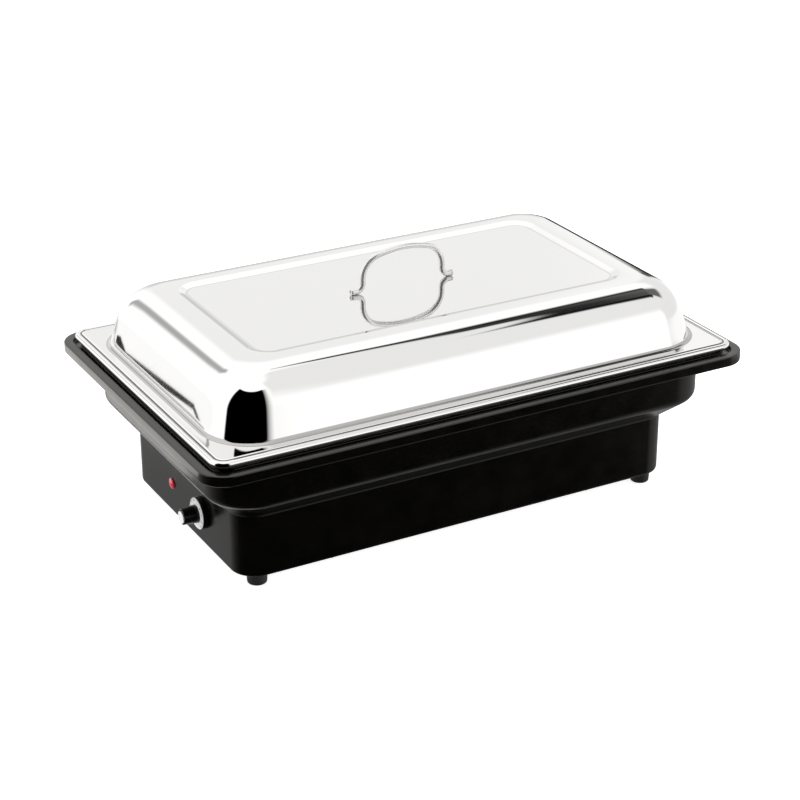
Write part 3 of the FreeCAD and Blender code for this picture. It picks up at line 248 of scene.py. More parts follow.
class Finish:
    """A Principled material and the few procedural layers that the finishes here share."""

    def __init__(self, name, color, roughness, metallic=0.0, **sockets):
        self.material = bpy.data.materials.new(name)
        self.material.use_nodes = True
        self.tree = self.material.node_tree
        self.shader = self.tree.nodes["Principled BSDF"]
        self.shader.inputs["Base Color"].default_value = (*color, 1.0)
        self.shader.inputs["Roughness"].default_value = roughness
        self.shader.inputs["Metallic"].default_value = metallic
        for socket, number in sockets.items():
            self.shader.inputs[socket.replace("_", " ")].default_value = number
        self.color = color
        self.roughness = roughness
        coordinates = self.tree.nodes.new("ShaderNodeTexCoord")
        self.place = coordinates.outputs["Object"]
        self.height = None

    def node(self, kind, **settings):
        node = self.tree.nodes.new(kind)
        for key, setting in settings.items():
            setattr(node, key, setting)
        return node

    def link(self, output, socket):
        self.tree.links.new(output, socket)

    def noise(self, scale, detail=4.0, stretch=(1, 1, 1)):
        """Noise with so many features in a metre, optionally drawn out along an axis."""
        mapping = self.node("ShaderNodeMapping")
        mapping.inputs["Scale"].default_value = stretch
        self.link(self.place, mapping.inputs["Vector"])
        noise = self.node("ShaderNodeTexNoise")
        noise.inputs["Scale"].default_value = scale
        noise.inputs["Detail"].default_value = detail
        self.link(mapping.outputs["Vector"], noise.inputs["Vector"])
        return noise.outputs["Fac"]

    def ramp(self, source, low, high):
        """Map noise from low to high."""
        spread = self.node("ShaderNodeMapRange")
        spread.inputs["From Min"].default_value = 0.3
        spread.inputs["From Max"].default_value = 0.7
        spread.inputs["To Min"].default_value = low
        spread.inputs["To Max"].default_value = high
        self.link(source, spread.inputs["Value"])
        return spread.outputs["Result"]

    def rough(self, scale, amount, stretch=(1, 1, 1)):
        """Let the roughness wander about its value."""
        low, high = self.roughness - amount, self.roughness + amount
        varied = self.ramp(self.noise(scale, 5.0, stretch), max(low, 0.01), high)
        self.link(varied, self.shader.inputs["Roughness"])
        return self

    def tint(self, scale, other, stretch=(1, 1, 1)):
        """Mix the base colour with another by noise."""
        mix = self.node("ShaderNodeMix", data_type="RGBA")
        mix.inputs["A"].default_value = (*self.color, 1.0)
        mix.inputs["B"].default_value = (*other, 1.0)
        self.link(self.ramp(self.noise(scale, 4.0, stretch), 0.0, 1.0), mix.inputs["Factor"])
        self.link(mix.outputs["Result"], self.shader.inputs["Base Color"])
        return self

    def bump(self, scale, depth, stretch=(1, 1, 1), detail=3.0):
        """A fine relief, so many features in a metre and so many metres deep."""
        relief = self.node("ShaderNodeBump")
        relief.inputs["Strength"].default_value = 1.0
        relief.inputs["Distance"].default_value = depth
        self.link(self.noise(scale, detail, stretch), relief.inputs["Height"])
        if self.height is not None:
            self.link(self.height, relief.inputs["Normal"])
        self.height = relief.outputs["Normal"]
        self.link(self.height, self.shader.inputs["Normal"])
        return self


def make_finishes():
    """Every finish, by the record's material slot."""
    finishes = {
        "black_plastic": Finish("black_plastic", (0.0012, 0.0011, 0.0009), 0.22,
                                Specular_Tint=(1.0, 0.97, 0.91, 1.0))
        .tint(30, (0.0022, 0.0020, 0.0017)).rough(60, 0.03).bump(1500, 0.000006).bump(300, 0.00001),
        "black_rubber": Finish("black_rubber", (0.012, 0.012, 0.012), 0.62)
        .tint(80, (0.020, 0.020, 0.019)).rough(200, 0.08).bump(1800, 0.00003),
        "grey_silicone": Finish("grey_silicone", (0.30, 0.30, 0.31), 0.45)
        .tint(60, (0.36, 0.36, 0.36)).bump(900, 0.00002),
        "satin_steel": Finish("satin_steel", (0.62, 0.615, 0.60), 0.24, 1.0)
        .tint(8, (0.66, 0.655, 0.64)).rough(45, 0.03, (1, 6, 6)).bump(700, 0.000002, (0.15, 3, 3)),
        "polished_steel": Finish("polished_steel", (0.80, 0.795, 0.785), 0.035, 1.0)
        .rough(25, 0.008).bump(7, 0.00004, detail=0.0),
        # painted shade: darker steel for the dark line in the lid flange's groove
        "groove_painted_shade": Finish("groove_painted_shade", (0.17, 0.165, 0.155), 0.22, 1.0).rough(40, 0.05),
        # painted shade: greyer steel for the lines along the lid panel's edge and the dome's foot
        "crease_painted_shade": Finish("crease_painted_shade", (0.46, 0.455, 0.445), 0.12, 1.0).rough(40, 0.04),
        "polished_wire": Finish("polished_wire", (0.84, 0.835, 0.825), 0.09, 0.55)
        .rough(120, 0.02).bump(900, 0.000002),
        "zinc_steel": Finish("zinc_steel", (0.56, 0.57, 0.59), 0.34, 1.0)
        .tint(140, (0.48, 0.50, 0.53)).rough(300, 0.08).bump(1200, 0.00001),
        "knob_black": Finish("knob_black", (0.003, 0.003, 0.003), 0.26)
        .rough(200, 0.05).bump(1500, 0.000008),
        "dial_silver": Finish("dial_silver", (0.95, 0.95, 0.94), 0.30, 0.08)
        .rough(300, 0.05).bump(2500, 0.000006),
        "terminal_brass": Finish("terminal_brass", (0.70, 0.50, 0.24), 0.30, 1.0)
        .tint(200, (0.58, 0.42, 0.22)).rough(300, 0.08),
        "red_lens": Finish("red_lens", (0.62, 0.02, 0.05), 0.14, 0.0, Coat_Weight=0.6)
        .tint(500, (0.62, 0.03, 0.06)).bump(900, 0.00001),
        "inlet_black": Finish("inlet_black", (0.020, 0.020, 0.020), 0.42)
        .rough(150, 0.06).bump(1400, 0.00002),
        "sheath_steel": Finish("sheath_steel", (0.24, 0.22, 0.20), 0.40, 1.0)
        .tint(25, (0.34, 0.27, 0.20), (1, 4, 4)).rough(120, 0.1).bump(900, 0.00002),
        "white_ceramic": Finish("white_ceramic", (0.80, 0.78, 0.72), 0.22)
        .tint(200, (0.74, 0.71, 0.65)).bump(600, 0.00001),
        "bright_aluminium": Finish("bright_aluminium", (0.78, 0.79, 0.80), 0.22, 1.0)
        .rough(60, 0.08, (1, 8, 1)).bump(40, 0.00008),
        "mineral_mat": Finish("mineral_mat", (0.62, 0.60, 0.53), 0.95)
        .tint(160, (0.74, 0.71, 0.63)).bump(700, 0.0006),
        "cutout_black": Finish("cutout_black", (0.03, 0.028, 0.026), 0.38).rough(200, 0.06),
        "white_polyamide": Finish("white_polyamide", (0.78, 0.76, 0.70), 0.42)
        .tint(90, (0.72, 0.70, 0.64)).bump(800, 0.00001),
        "lead_brown": Finish("lead_brown", (0.16, 0.065, 0.03), 0.36).rough(300, 0.06),
        "lead_blue": Finish("lead_blue", (0.03, 0.13, 0.38), 0.36).rough(300, 0.06),
        "lead_green": Finish("lead_green", (0.10, 0.36, 0.06), 0.36)
        .tint(160, (0.62, 0.56, 0.04)),
    }
    return {slot: finish.material for slot, finish in finishes.items()}


FINISH = make_finishes()
SLOT_OF = {entry["node"]: entry["material_slot"] for entry in frame["record"]["subparts"]}
for node_name, node_object in frame["nodes"].items():
    node_object.data.materials.clear()
    node_object.data.materials.append(FINISH[SLOT_OF[node_name]])


# ---------------------------------------------------------------- driving sizes

HOUSING_LOW, HOUSING_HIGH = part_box("base_housing")
PLATE_LOW, PLATE_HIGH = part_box("base_plate")
LID_LOW, LID_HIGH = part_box("lid_shell")
PAN_LOW, PAN_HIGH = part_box("food_pan")
BATH_LOW, BATH_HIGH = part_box("water_bath")
HANDLE_LOW, HANDLE_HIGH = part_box("lid_handle")

WALL = 3.0 * MM
SHEET = 1.0 * MM
RIM = (HOUSING_HIGH.x, HOUSING_HIGH.y, 26 * MM)
TUB = (260 * MM, 158 * MM, 45 * MM)
BOX = (PLATE_HIGH.x + WALL + 0.4 * MM, PLATE_HIGH.y + WALL + 0.4 * MM, 25 * MM)
SEAT = (269 * MM, 166.5 * MM, 17 * MM)


# ---------------------------------------------------------------- housing

def make_housing():
    """The black moulding: lower box, sloping shoulder, tub, rim with a raised lip and channel."""
    floor, top = HOUSING_LOW.z, HOUSING_HIGH.z
    shoulder, tub = 74 * MM, 99.5 * MM
    under_rim, rim = 143 * MM, 140 * MM
    channel, seat = 146 * MM, 148.5 * MM
    lip = -9.0 * MM
    section = [
        level(BOX, -WALL, floor, 0.3 * MM),
        level(BOX, 0, floor, 3.4 * MM),
        level(BOX, 0, shoulder, 1.6 * MM),
        level(TUB, 0, tub, 5.0 * MM),
        level(TUB, 0, under_rim, 0.8 * MM),
        level(RIM, -WALL, under_rim, 0.8 * MM),
        level(RIM, -WALL, rim, 0.9 * MM),
        level(RIM, 0, rim, 1.7 * MM),
        level(RIM, 0, top, 1.2 * MM),
        level(RIM, lip, top, 1.0 * MM),
        level(RIM, lip, channel, 1.0 * MM),
        level(SEAT, 0, channel, 0.9 * MM),
        level(SEAT, 0, seat, 0.9 * MM),
        level(TUB, -WALL, seat, 0.8 * MM),
        level(TUB, -WALL, tub + 1.3 * MM, 4.0 * MM),
        level(BOX, -WALL, shoulder + 1.3 * MM, 2.0 * MM),
    ]
    shell = skin("housing_shell", eased(section, True))
    put(shell, "base", FINISH["black_plastic"], ["base_housing"])


# ---------------------------------------------------------------- steel vessels

def make_bath():
    """The drawn water bath: a flat flange, upright upper walls, sloping shoulder, flat floor.

    The section starts and ends at the flange's edge, so the skin's flat ends also close the
    bath's opening with a plate, and its floor has a slot in the middle. Both are known faults.
    """
    flange = (BATH_HIGH.x, BATH_HIGH.y, 14 * MM)
    upper = (253 * MM, 151 * MM, 38 * MM)
    lower = (224 * MM, 118 * MM, 26 * MM)
    top, bottom, shoulder = BATH_HIGH.z, BATH_LOW.z, 104 * MM
    inside = [
        level(flange, 0, top - SHEET, 0.3 * MM),
        level(flange, 0, top, 0.3 * MM),
        level(upper, -SHEET, top, 2.2 * MM),
        level(upper, -SHEET, shoulder, 9.0 * MM),
        level(lower, -SHEET, bottom + SHEET, 8.0 * MM),
        level(lower, -60 * MM, bottom + SHEET),
        level(lower, -110 * MM, bottom + SHEET),
    ]
    outside = [
        level(lower, -110 * MM, bottom),
        level(lower, -60 * MM, bottom),
        level(lower, 0, bottom, 8.6 * MM),
        level(upper, 0, shoulder, 9.0 * MM),
        level(upper, 0, top - SHEET, 2.6 * MM),
        level(flange, 0, top - SHEET, 0.0),
    ]
    bath = skin("bath_shell", eased(inside, False) + eased(outside, False), False)
    put(bath, "base", FINISH["satin_steel"], ["water_bath"])


def make_pan():
    """The food pan: a turned-down edge, a flat flange, steep walls and a large floor radius."""
    flange = (PAN_HIGH.x, PAN_HIGH.y, 12 * MM)
    upper = (249 * MM, 146.5 * MM, 40 * MM)
    lower = (244.5 * MM, 142 * MM, 37 * MM)
    top, bottom, skirt = PAN_HIGH.z, PAN_LOW.z, PAN_HIGH.z - 4.5 * MM
    section = [
        level(lower, -130 * MM, bottom + SHEET),
        level(lower, -60 * MM, bottom + SHEET),
        level(lower, -SHEET, bottom + SHEET, 22 * MM),
        level(upper, -SHEET, top, 5.0 * MM),
        level(flange, 0, top, 1.3 * MM),
        level(flange, 0, skirt, 0.3 * MM),
        level(flange, -SHEET, skirt, 0.3 * MM),
        level(flange, -SHEET, top - SHEET, 0.5 * MM),
        level(upper, 0, top - SHEET, 5.0 * MM),
        level(lower, 0, bottom, 23 * MM),
        level(lower, -60 * MM, bottom),
        level(lower, -130 * MM, bottom),
    ]
    pan = skin("pan_shell", eased(section, False, 8), False)
    put(pan, "pan", FINISH["satin_steel"], ["food_pan"])


# ---------------------------------------------------------------- lid

DOME_BASE = (255 * MM, 151 * MM, 47.5 * MM)
DOME_TAPER = math.radians(15)
DOME_RADIUS = 41 * MM
DOME_CROWN = 0.8 * MM
PANEL = (198.5 * MM, 96.5 * MM, 25 * MM)
PANEL_STEP = 9 * MM
PANEL_LINE = 0.55 * MM
PANEL_DEPTH = 2.6 * MM
CORNER_SHRINK = 0.62
FLANGE_HEIGHT = 5.8 * MM
EDGE_CORNER = 12 * MM
BEAD = 3.3 * MM
FOOT = 4.5 * MM


def dome_level(inset, height):
    """The dome's outline so far inside its base: its corner tightens more slowly."""
    half_length, half_width, corner = DOME_BASE
    return (half_length - inset, half_width - inset, corner - CORNER_SHRINK * inset, height)


def dome_side(inward, base, top):
    """The dome's tapered wall and rolled shoulder, from its base up, so far inside its skin."""
    radius = DOME_RADIUS - inward
    shoulder = top - DOME_CROWN - inward
    start = shoulder - radius * (1 - math.sin(DOME_TAPER))
    lean = (start - base) * math.tan(DOME_TAPER)
    wall_steps, steps = 4, 20
    levels = []
    for step in range(wall_steps):
        share = step / wall_steps
        levels.append(dome_level(inward + lean * share, base + (start - base) * share))
    for step in range(steps + 1):
        angle = DOME_TAPER + (math.pi / 2 - DOME_TAPER) * step / steps
        run = radius * (math.cos(DOME_TAPER) - math.cos(angle))
        rise = radius * (math.sin(angle) - math.sin(DOME_TAPER))
        levels.append(dome_level(inward + lean + run, start + rise))
    return levels


def panel_side(inward, top):
    """The sunk panel: from its border, down a soft step and across to the middle."""
    half_length, half_width, corner = PANEL
    floor = top - inward - PANEL_DEPTH
    levels = []
    steps, bend = 10, 0.2
    for step in range(steps + 1):
        t = step / steps
        entry = min(t, bend) ** 2 / (2 * bend) + max(t - bend, 0)
        leaving = max(t - 1 + bend, 0) ** 2 / (2 * bend)
        drop = PANEL_DEPTH * (entry - leaving) / (1 - bend)
        run = PANEL_STEP * t
        levels.append((half_length - run, half_width - run, corner - run, top - inward - drop))
    run = PANEL_STEP + PANEL_LINE
    levels.append((half_length - run, half_width - run, corner - run, floor))
    for share in (0.75, 0.5, 0.25, 0.08):
        width = half_width * share
        levels.append((half_length - (half_width - width), width, min(corner, width) * 0.7, floor))
    return levels


def dome_foot(base):
    """The hollow radius that runs from the dome's wall out on to the flange."""
    out = FOOT * math.cos(DOME_TAPER) - FOOT * (1 - math.sin(DOME_TAPER)) * math.tan(DOME_TAPER)
    levels = []
    steps = 8
    for step in range(steps + 1):
        angle = DOME_TAPER + (math.pi / 2 - DOME_TAPER) * step / steps
        reach = out - FOOT * math.cos(angle)
        levels.append(level(DOME_BASE, reach, base + FOOT * (1 - math.sin(angle)))[:4])
    return levels


def bead_side(base, low):
    """The flange's edge: a fine groove, then a rolled bead that stands a little proud."""
    centre = (LID_HIGH.x - BEAD, LID_HIGH.y - BEAD, EDGE_CORNER)
    under = base - SHEET
    places = [(-6 * MM, base + 0.3 * MM), (-3.5 * MM, base + 0.4 * MM), (-3.1 * MM, base - 0.1 * MM)]
    start, sweep, steps = math.radians(137), math.radians(309), 24
    for step in range(steps + 1):
        angle = start - sweep * step / steps
        places.append((BEAD * math.cos(angle), low + BEAD * (1 + math.sin(angle))))
    places += [(-BEAD, under - 0.3 * MM), (-BEAD - 0.5 * MM, under)]
    return [level(centre, out, height)[:4] for out, height in places]


def inside_edge(point, base):
    """How far a point is inside a round-cornered outline, seen from above."""
    half_length, half_width, corner = base
    across = abs(point.x) - half_length + corner
    along = abs(point.y) - half_width + corner
    outside = math.hypot(max(across, 0), max(along, 0))
    return corner - outside - min(max(across, along), 0)


def paint_shade_band(thing, material, base, reach, heights):
    """Give another finish to the faces in a band inside an outline, between two heights: here it paints
    lines of shade on the lid.
    """
    mesh = thing.data
    mesh.materials.append(material)
    for face in mesh.polygons:
        within = reach[0] < inside_edge(face.center, base) < reach[1]
        if within and heights[0] < face.center.z < heights[1] and face.normal.z > -0.1:
            face.material_index = len(mesh.materials) - 1


def make_lid():
    """The polished lid as one closed skin: panel, dome, flange, rolled edge, and inside again.

    Its fine lines are painted shade: darker steel in the flange's groove, greyer steel along the
    panel's edge and the dome's foot, in place of the dark reflections in these creases.
    """
    base, top = LID_LOW.z + FLANGE_HEIGHT, LID_HIGH.z
    foot = dome_foot(base)
    wall = [point for point in dome_side(0, base, top)[::-1] if point[3] > foot[0][3]]
    outer = panel_side(0, top)[::-1] + wall + foot + bead_side(base, LID_LOW.z)
    outer.append(level(DOME_BASE, 1.0 * MM, base - SHEET)[:4])
    inner = dome_side(SHEET, base, top) + panel_side(SHEET, top)
    lid = skin("lid_skin", outer + inner, False)
    put(lid, "lid", FINISH["polished_steel"], ["lid_shell"])
    # Bands of painted shade: darker steel in the flange's groove, greyer steel along the panel's edge and
    # the dome's foot.
    edge = (LID_HIGH.x, LID_HIGH.y, EDGE_CORNER + BEAD)
    floor = top - PANEL_DEPTH
    groove = (5.4 * MM, 6.9 * MM), (base - 1 * MM, base + 1 * MM)
    panel_shade_band = (PANEL_STEP - 0.1 * MM, PANEL_STEP + PANEL_LINE), (floor - 0.1 * MM, floor + 0.3 * MM)
    foot_shade_band = (-3.4 * MM, 0.75 * MM), (base, base + 3.1 * MM)
    paint_shade_band(lid, FINISH["groove_painted_shade"], edge, *groove)
    paint_shade_band(lid, FINISH["crease_painted_shade"], PANEL, *panel_shade_band)
    paint_shade_band(lid, FINISH["crease_painted_shade"], DOME_BASE, *foot_shade_band)


def handle_path():
    """The wire's centre line: along its feet, up round a small bend, and over one low arch."""
    radius = (HANDLE_HIGH.y - HANDLE_LOW.y) / 2
    y = (HANDLE_HIGH.y + HANDLE_LOW.y) / 2
    foot_level = HANDLE_LOW.z + radius
    foot, leg, bend = HANDLE_HIGH.x, 43 * MM, 7 * MM
    shoulder, crown = 22 * MM, 98 * MM
    top = HANDLE_HIGH.z - radius
    centre = top - crown
    shoulder_x = leg - shoulder
    shoulder_z = centre + math.sqrt((crown - shoulder) ** 2 - shoulder_x ** 2)
    lean = math.atan2(shoulder_x, shoulder_z - centre)
    bend_steps, shoulder_steps, crown_steps = 8, 14, 15
    side = [(foot - radius, foot_level)]
    for step in range(bend_steps + 1):
        angle = math.pi / 2 * step / bend_steps
        side.append((leg + bend - bend * math.sin(angle), foot_level + bend - bend * math.cos(angle)))
    for step in range(shoulder_steps + 1):
        angle = (math.pi / 2 - lean) * step / shoulder_steps
        side.append((shoulder_x + shoulder * math.cos(angle), shoulder_z + shoulder * math.sin(angle)))
    for step in range(1, crown_steps + 1):
        angle = lean * (1 - step / crown_steps)
        side.append((crown * math.sin(angle), centre + crown * math.cos(angle)))
    right = [Vector((x, y, z)) for x, z in side]
    left = [Vector((-x, y, z)) for x, z in side[:-1]]
    return left + right[::-1], radius


def make_handle():
    """The bent wire handle with its two feet."""
    points, radius = handle_path()
    bail = wire("handle_wire", points, radius)
    put(bail, "lid", FINISH["polished_wire"], ["lid_handle"])


# ---------------------------------------------------------------- knob, lens, feet

def make_knob():
    """Black dial skirt, silver dial with marks, tapered grip, silver end cap."""
    skirt_low, skirt_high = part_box("dial_skirt")
    ring_low, ring_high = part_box("dial_ring")
    grip_low, grip_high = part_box("knob_grip")
    cap_low, cap_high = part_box("knob_cap")
    y, z = (skirt_low.y + skirt_high.y) / 2, (skirt_low.z + skirt_high.z) / 2
    outwards = (-1, 0, 0)

    depth, radius = skirt_high.x - skirt_low.x, (skirt_high.y - skirt_low.y) / 2
    profile = rounded_profile([
        (13.0 * MM, 0.0, 0), (radius, 0.0, 0.4 * MM), (radius, depth, 0.7 * MM), (3.0 * MM, depth, 0)])
    dial = turned("dial_back", profile, (skirt_high.x, y, z), outwards)
    crisp(dial)
    put(dial, "knob", FINISH["knob_black"], ["dial_skirt"])

    depth, radius = ring_high.x - ring_low.x, (ring_high.y - ring_low.y) / 2
    profile = rounded_profile([
        (8.6 * MM, 0.0, 0), (radius, 0.0, 0.1 * MM), (radius - 0.3 * MM, depth, 0.3 * MM),
        (radius * 0.72, depth + 0.12 * MM, 1.0 * MM), (8.4 * MM, depth, 0)])
    face = turned("dial_face", profile, (ring_high.x, y, z), outwards, 96)
    put(face, "knob", FINISH["dial_silver"], ["dial_ring"])
    make_marks(Vector((ring_low.x, y, z)), radius)

    length = grip_high.x - grip_low.x
    root, tip = (grip_high.y - grip_low.y) / 2, 7.6 * MM
    profile = rounded_profile([
        (root, 0.0, 0), (root, 0.5 * MM, 0.4 * MM), (tip, length, 0.8 * MM), (2 * MM, length, 0)], 8)
    grip = turned("grip_body", profile, (grip_high.x, y, z), outwards, 96)
    crisp(grip)
    put(grip, "knob", FINISH["knob_black"], ["knob_grip"])

    depth, radius = cap_high.x - cap_low.x, (cap_high.y - cap_low.y) / 2
    profile = rounded_profile([
        (radius, 0.0, 0), (radius, depth, 0.3 * MM), (radius - 0.9 * MM, depth, 0.2 * MM),
        (radius - 1.1 * MM, depth - 0.3 * MM, 0.2 * MM), (1.0 * MM, depth - 0.25 * MM, 0)])
    cap = turned("grip_cap", profile, (cap_high.x, y, z), outwards, 96)
    crisp(cap)
    put(cap, "knob", FINISH["dial_silver"], ["knob_cap"])


def make_marks(centre, radius):
    """The dial's dark graduations: a long one at each main setting and short ones between."""
    first, sweep, count, main_every = 225, 270, 28, 3
    verts, faces = [], []
    for mark in range(count):
        angle = math.radians(first - sweep * mark / (count - 1))
        main = mark % main_every == 0
        inner = radius - (3.4 if main else 2.0) * MM
        outer = radius - 0.35 * MM
        half = (0.32 if main else 0.2) * MM
        along = Vector((0, -math.cos(angle), math.sin(angle)))
        across = Vector((0, -math.sin(angle), -math.cos(angle)))
        base = len(verts)
        for lift in (0.12, 0.0):
            for reach, side in ((inner, -half), (outer, -half), (outer, half), (inner, half)):
                verts.append(centre + along * reach + across * side + Vector((-lift * MM, 0, 0)))
        faces.append((base, base + 1, base + 2, base + 3))
        for k in range(4):
            after = (k + 1) % 4
            faces.append((base + k, base + after, base + 4 + after, base + 4 + k))
    marks = finish_mesh("dial_marks", verts, faces)
    crisp(marks, 20)
    put(marks, "knob", FINISH["knob_black"])


def make_lamp():
    """The domed red lens, with a short straight edge against the wall."""
    low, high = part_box("indicator_lens")
    y, z = (low.y + high.y) / 2, (low.z + high.z) / 2
    radius, rise, edge = (high.y - low.y) / 2, high.x - low.x, 0.5 * MM
    profile = [(radius, 0.0), (radius, edge)]
    steps = 9
    for step in range(1, steps + 1):
        angle = math.pi / 2 * step / steps
        profile.append((radius * math.cos(angle), edge + (rise - edge) * math.sin(angle)))
    lens = turned("lamp_lens", profile, (high.x, y, z), (-1, 0, 0), 48)
    put(lens, "base", FINISH["red_lens"], ["indicator_lens"])


def make_feet():
    """Turned rubber feet: a slight waist, a round lower edge and a screw recess."""
    for name in ("foot_front_left", "foot_front_right", "foot_rear_left", "foot_rear_right"):
        low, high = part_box(name)
        centre = ((low.x + high.x) / 2, (low.y + high.y) / 2, low.z)
        radius, height = (high.x - low.x) / 2, high.z - low.z
        profile = rounded_profile([
            (4.4 * MM, 6.0 * MM, 0), (4.4 * MM, 0.0, 0.5 * MM), (radius - 0.4 * MM, 0.0, 2.2 * MM),
            (radius, height * 0.55, 3.0 * MM), (radius - 0.3 * MM, height - 0.4 * MM, 0.3 * MM),
            (2.1 * MM, height - 0.05 * MM, 0)], 7)
        foot = turned(name + "_pad", profile, centre, (0, 0, 1))
        crisp(foot, 50)
        put(foot, "base", FINISH["black_rubber"], [name])


# ---------------------------------------------------------------- stage, light, camera

FLOOR_SIZE = 30.0
FLOOR_GLOW = 0.85
CARD_SIZE = (0.50, 1.0)
CARD_PLACE = (-0.55, 0.60, 0.002)
CARD_TINT = (1.0, 0.975, 0.94)
CARD_RADIANCE = 1.5
FLAG_HEIGHT = 0.004
FLAG_CORNERS = [(-0.632, 0.925), (-0.682, 0.940), (-0.731, 0.615), (-0.715, 0.610)]
CAMERA_PLACE = (-0.90039, -1.62337, 0.94172)
CAMERA_TURN = (65.357, 0.047, -29.017)
CAMERA_LENS = 93.84


def make_floor():
    """A plain pale floor under the feet."""
    mesh = bpy.data.meshes.new("floor")
    corners = [(x * FLOOR_SIZE, y * FLOOR_SIZE, 0) for x, y in ((-1, -1), (1, -1), (1, 1), (-1, 1))]
    mesh.from_pydata(corners, [], [(0, 1, 2, 3)])
    floor = bpy.data.objects.new("floor", mesh)
    SCENE.collection.objects.link(floor)
    paper = Finish("floor_paper", (0.93, 0.93, 0.93), 0.9).bump(300, 0.00002)
    paper.shader.inputs["Emission Color"].default_value = (1, 1, 1, 1)
    paper.shader.inputs["Emission Strength"].default_value = FLOOR_GLOW
    mesh.materials.append(paper.material)
    floor.visible_glossy = False


# Patches of the studio that surrounds the object, as seen from it. Bearings are in degrees:
# 0 is the front (-Y), 90 the right (+X), negative to the left; rises are degrees above level.
# Each has its bearings, its rises, how softly both end, and its brightness. A patch covers what
# is before it in the list.
STUDIO_WHITE = 1.3
STUDIO = [
    ((-180, 180), (-90, -3), (1, 5), 1.2),          # the floor, all round
    ((-180, -100), (-90, -13), (20, 6), 0.36),      # grey floor at the back left
    ((26, 118), (28, 75), (16, 14), 1.0),           # grey wall, high at the front right
    ((46, 140), (0, 34), (10, 12), 0.98),           # grey wall below it, at the right
    ((142, 170), (-12, 36), (12, 14), 1.05),        # light grey wall at the back
    ((-169, -160), (14, 42), (6, 8), 0.50),         # an upright grey bar at the back left
    ((144, 166), (-24, 10), (8, 10), 0.72),         # a greyer foot to the back wall
    ((138, 172), (-40, -15), (8, 4), 0.30),         # dark floor before it
    ((-120, 0), (-90, -12), (60, 8), 0.0),          # black floor at the front left
    ((40, 140), (-90, -20), (16, 8), 0.34),         # grey floor at the right
    ((-60, 46), (-90, -2), (14, 6), 0.0),           # black floor in front
    ((-86, 6), (-90, 62), (4, 2), 0.0),             # the dark opening at the front left
    ((-40, 12), (-90, 60), (24, 5), 0.0),           # its softer right edge
    ((72, 120), (50, 59.8), (8, 1.5), 0.01),        # a black bar, high at the right
    ((98, 129), (58.8, 61.6), (8, 1.5), 0.04),      # its thin far end
    ((84, 113), (36, 56), (8, 8), 0.15),            # a dark patch under it
    ((134.5, 140), (-4, 14), (3, 6), 0.10),         # a narrow dark bar at the back right
    ((136, 146), (-32, -1), (3, 6), 0.02),          # the same, down to the floor
]


class Sky:
    """The studio's brightness in every direction, as a chain of soft-edged patches."""

    def __init__(self, world):
        self.tree = world.node_tree
        place = self.tree.nodes.new("ShaderNodeTexCoord").outputs["Generated"]
        split = self.tree.nodes.new("ShaderNodeSeparateXYZ")
        self.tree.links.new(place, split.inputs["Vector"])
        forward = self.math("MULTIPLY", split.outputs["Y"], -1.0)
        bearing = self.math("ARCTAN2", split.outputs["X"], forward)
        self.bearing = self.math("DEGREES", bearing)
        self.rise = self.math("DEGREES", self.math("ARCSINE", split.outputs["Z"]))
        self.level = STUDIO_WHITE

    def math(self, operation, first, second=None):
        node = self.tree.nodes.new("ShaderNodeMath")
        node.operation = operation
        for socket, source in zip(node.inputs, (first, second)):
            if source is None:
                continue
            if isinstance(source, float):
                socket.default_value = source
            else:
                self.tree.links.new(source, socket)
        return node.outputs["Value"]

    def step(self, source, edge, soft, rising):
        """A smooth step across an edge: 0 to 1 when rising, 1 to 0 when not."""
        node = self.tree.nodes.new("ShaderNodeMapRange")
        node.interpolation_type = "SMOOTHSTEP"
        node.inputs["From Min"].default_value = edge - soft / 2
        node.inputs["From Max"].default_value = edge + soft / 2
        node.inputs["To Min"].default_value = 0.0 if rising else 1.0
        node.inputs["To Max"].default_value = 1.0 if rising else 0.0
        self.tree.links.new(source, node.inputs["Value"])
        return node.outputs["Result"]

    def patch(self, bearings, rises, softness, brightness):
        """Blend one patch over what is there."""
        mask = None
        for source, edges, soft in ((self.bearing, bearings, softness[0]), (self.rise, rises, softness[1])):
            for edge, rising in zip(edges, (True, False)):
                side = self.step(source, edge, soft, rising)
                mask = side if mask is None else self.math("MULTIPLY", mask, side)
        mix = self.tree.nodes.new("ShaderNodeMix")
        self.tree.links.new(mask, mix.inputs["Factor"])
        if isinstance(self.level, float):
            mix.inputs["A"].default_value = self.level
        else:
            self.tree.links.new(self.level, mix.inputs["A"])
        mix.inputs["B"].default_value = brightness
        self.level = mix.outputs["Result"]


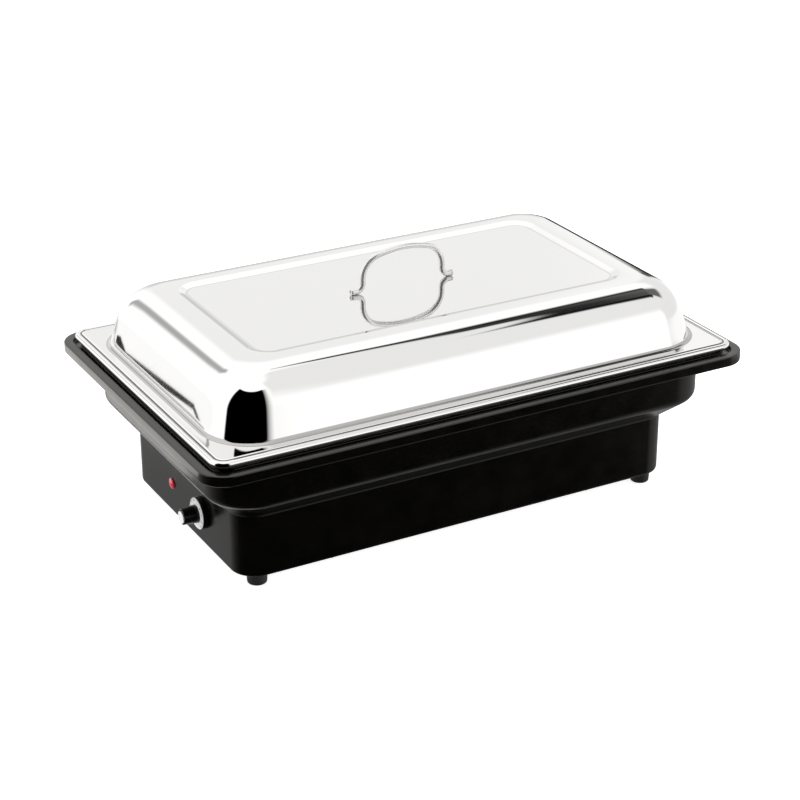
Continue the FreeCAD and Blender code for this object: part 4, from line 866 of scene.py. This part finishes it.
def make_world():
    """A white studio with the grey and dark patches that polished steel needs around it."""
    world = bpy.data.worlds.new("studio")
    SCENE.world = world
    world.use_nodes = True
    sky = Sky(world)
    for bearings, rises, softness, brightness in STUDIO:
        sky.patch(bearings, rises, softness, brightness)
    background = world.node_tree.nodes["Background"]
    background.inputs["Color"].default_value = (1, 1, 1, 1)
    world.node_tree.links.new(sky.level, background.inputs["Strength"])


def make_card():
    """A bright card on the floor at the back left, which all but the polished lid mirrors."""
    light = bpy.data.lights.new("floor_card", "AREA")
    light.shape = "RECTANGLE"
    light.size, light.size_y = CARD_SIZE
    light.energy = math.pi * light.size * light.size_y * CARD_RADIANCE
    light.color = CARD_TINT
    card = bpy.data.objects.new("floor_card", light)
    card.location = CARD_PLACE
    card.rotation_euler = (math.pi, 0, 0)
    card.visible_camera = False
    SCENE.collection.objects.link(card)
    passed_over = bpy.data.collections.new("not_lit_by_card")
    passed_over.objects.link(bpy.data.objects["lid_skin"])
    passed_over.collection_objects[0].light_linking.link_state = "EXCLUDE"
    card.light_linking.receiver_collection = passed_over


def make_flag():
    """A slim dark strip on the far floor, which the lid's left wall mirrors as a streak."""
    mesh = bpy.data.meshes.new("flag")
    corners = [(x, y, FLAG_HEIGHT) for x, y in FLAG_CORNERS]
    mesh.from_pydata(corners, [], [(0, 1, 2, 3)])
    flag = bpy.data.objects.new("flag", mesh)
    SCENE.collection.objects.link(flag)
    cloth = Finish("flag_cloth", (0.02, 0.02, 0.02), 0.9, Specular_IOR_Level=0.0)
    mesh.materials.append(cloth.bump(40, 0.00002).material)
    flag.visible_camera = False
    flag.visible_diffuse = False


def make_camera():
    """The camera: from above the front left corner, with a long lens."""
    data = bpy.data.cameras.new("camera")
    data.sensor_width = 36
    data.lens = CAMERA_LENS
    camera = bpy.data.objects.new("camera", data)
    camera.location = CAMERA_PLACE
    camera.rotation_euler = [math.radians(turn) for turn in CAMERA_TURN]
    SCENE.collection.objects.link(camera)
    SCENE.camera = camera


make_housing()
make_bath()
make_pan()
make_lid()
make_handle()
make_knob()
make_lamp()
make_feet()
make_floor()
make_world()
make_card()
make_flag()
make_camera()

SCENE.view_settings.view_transform = "Standard"
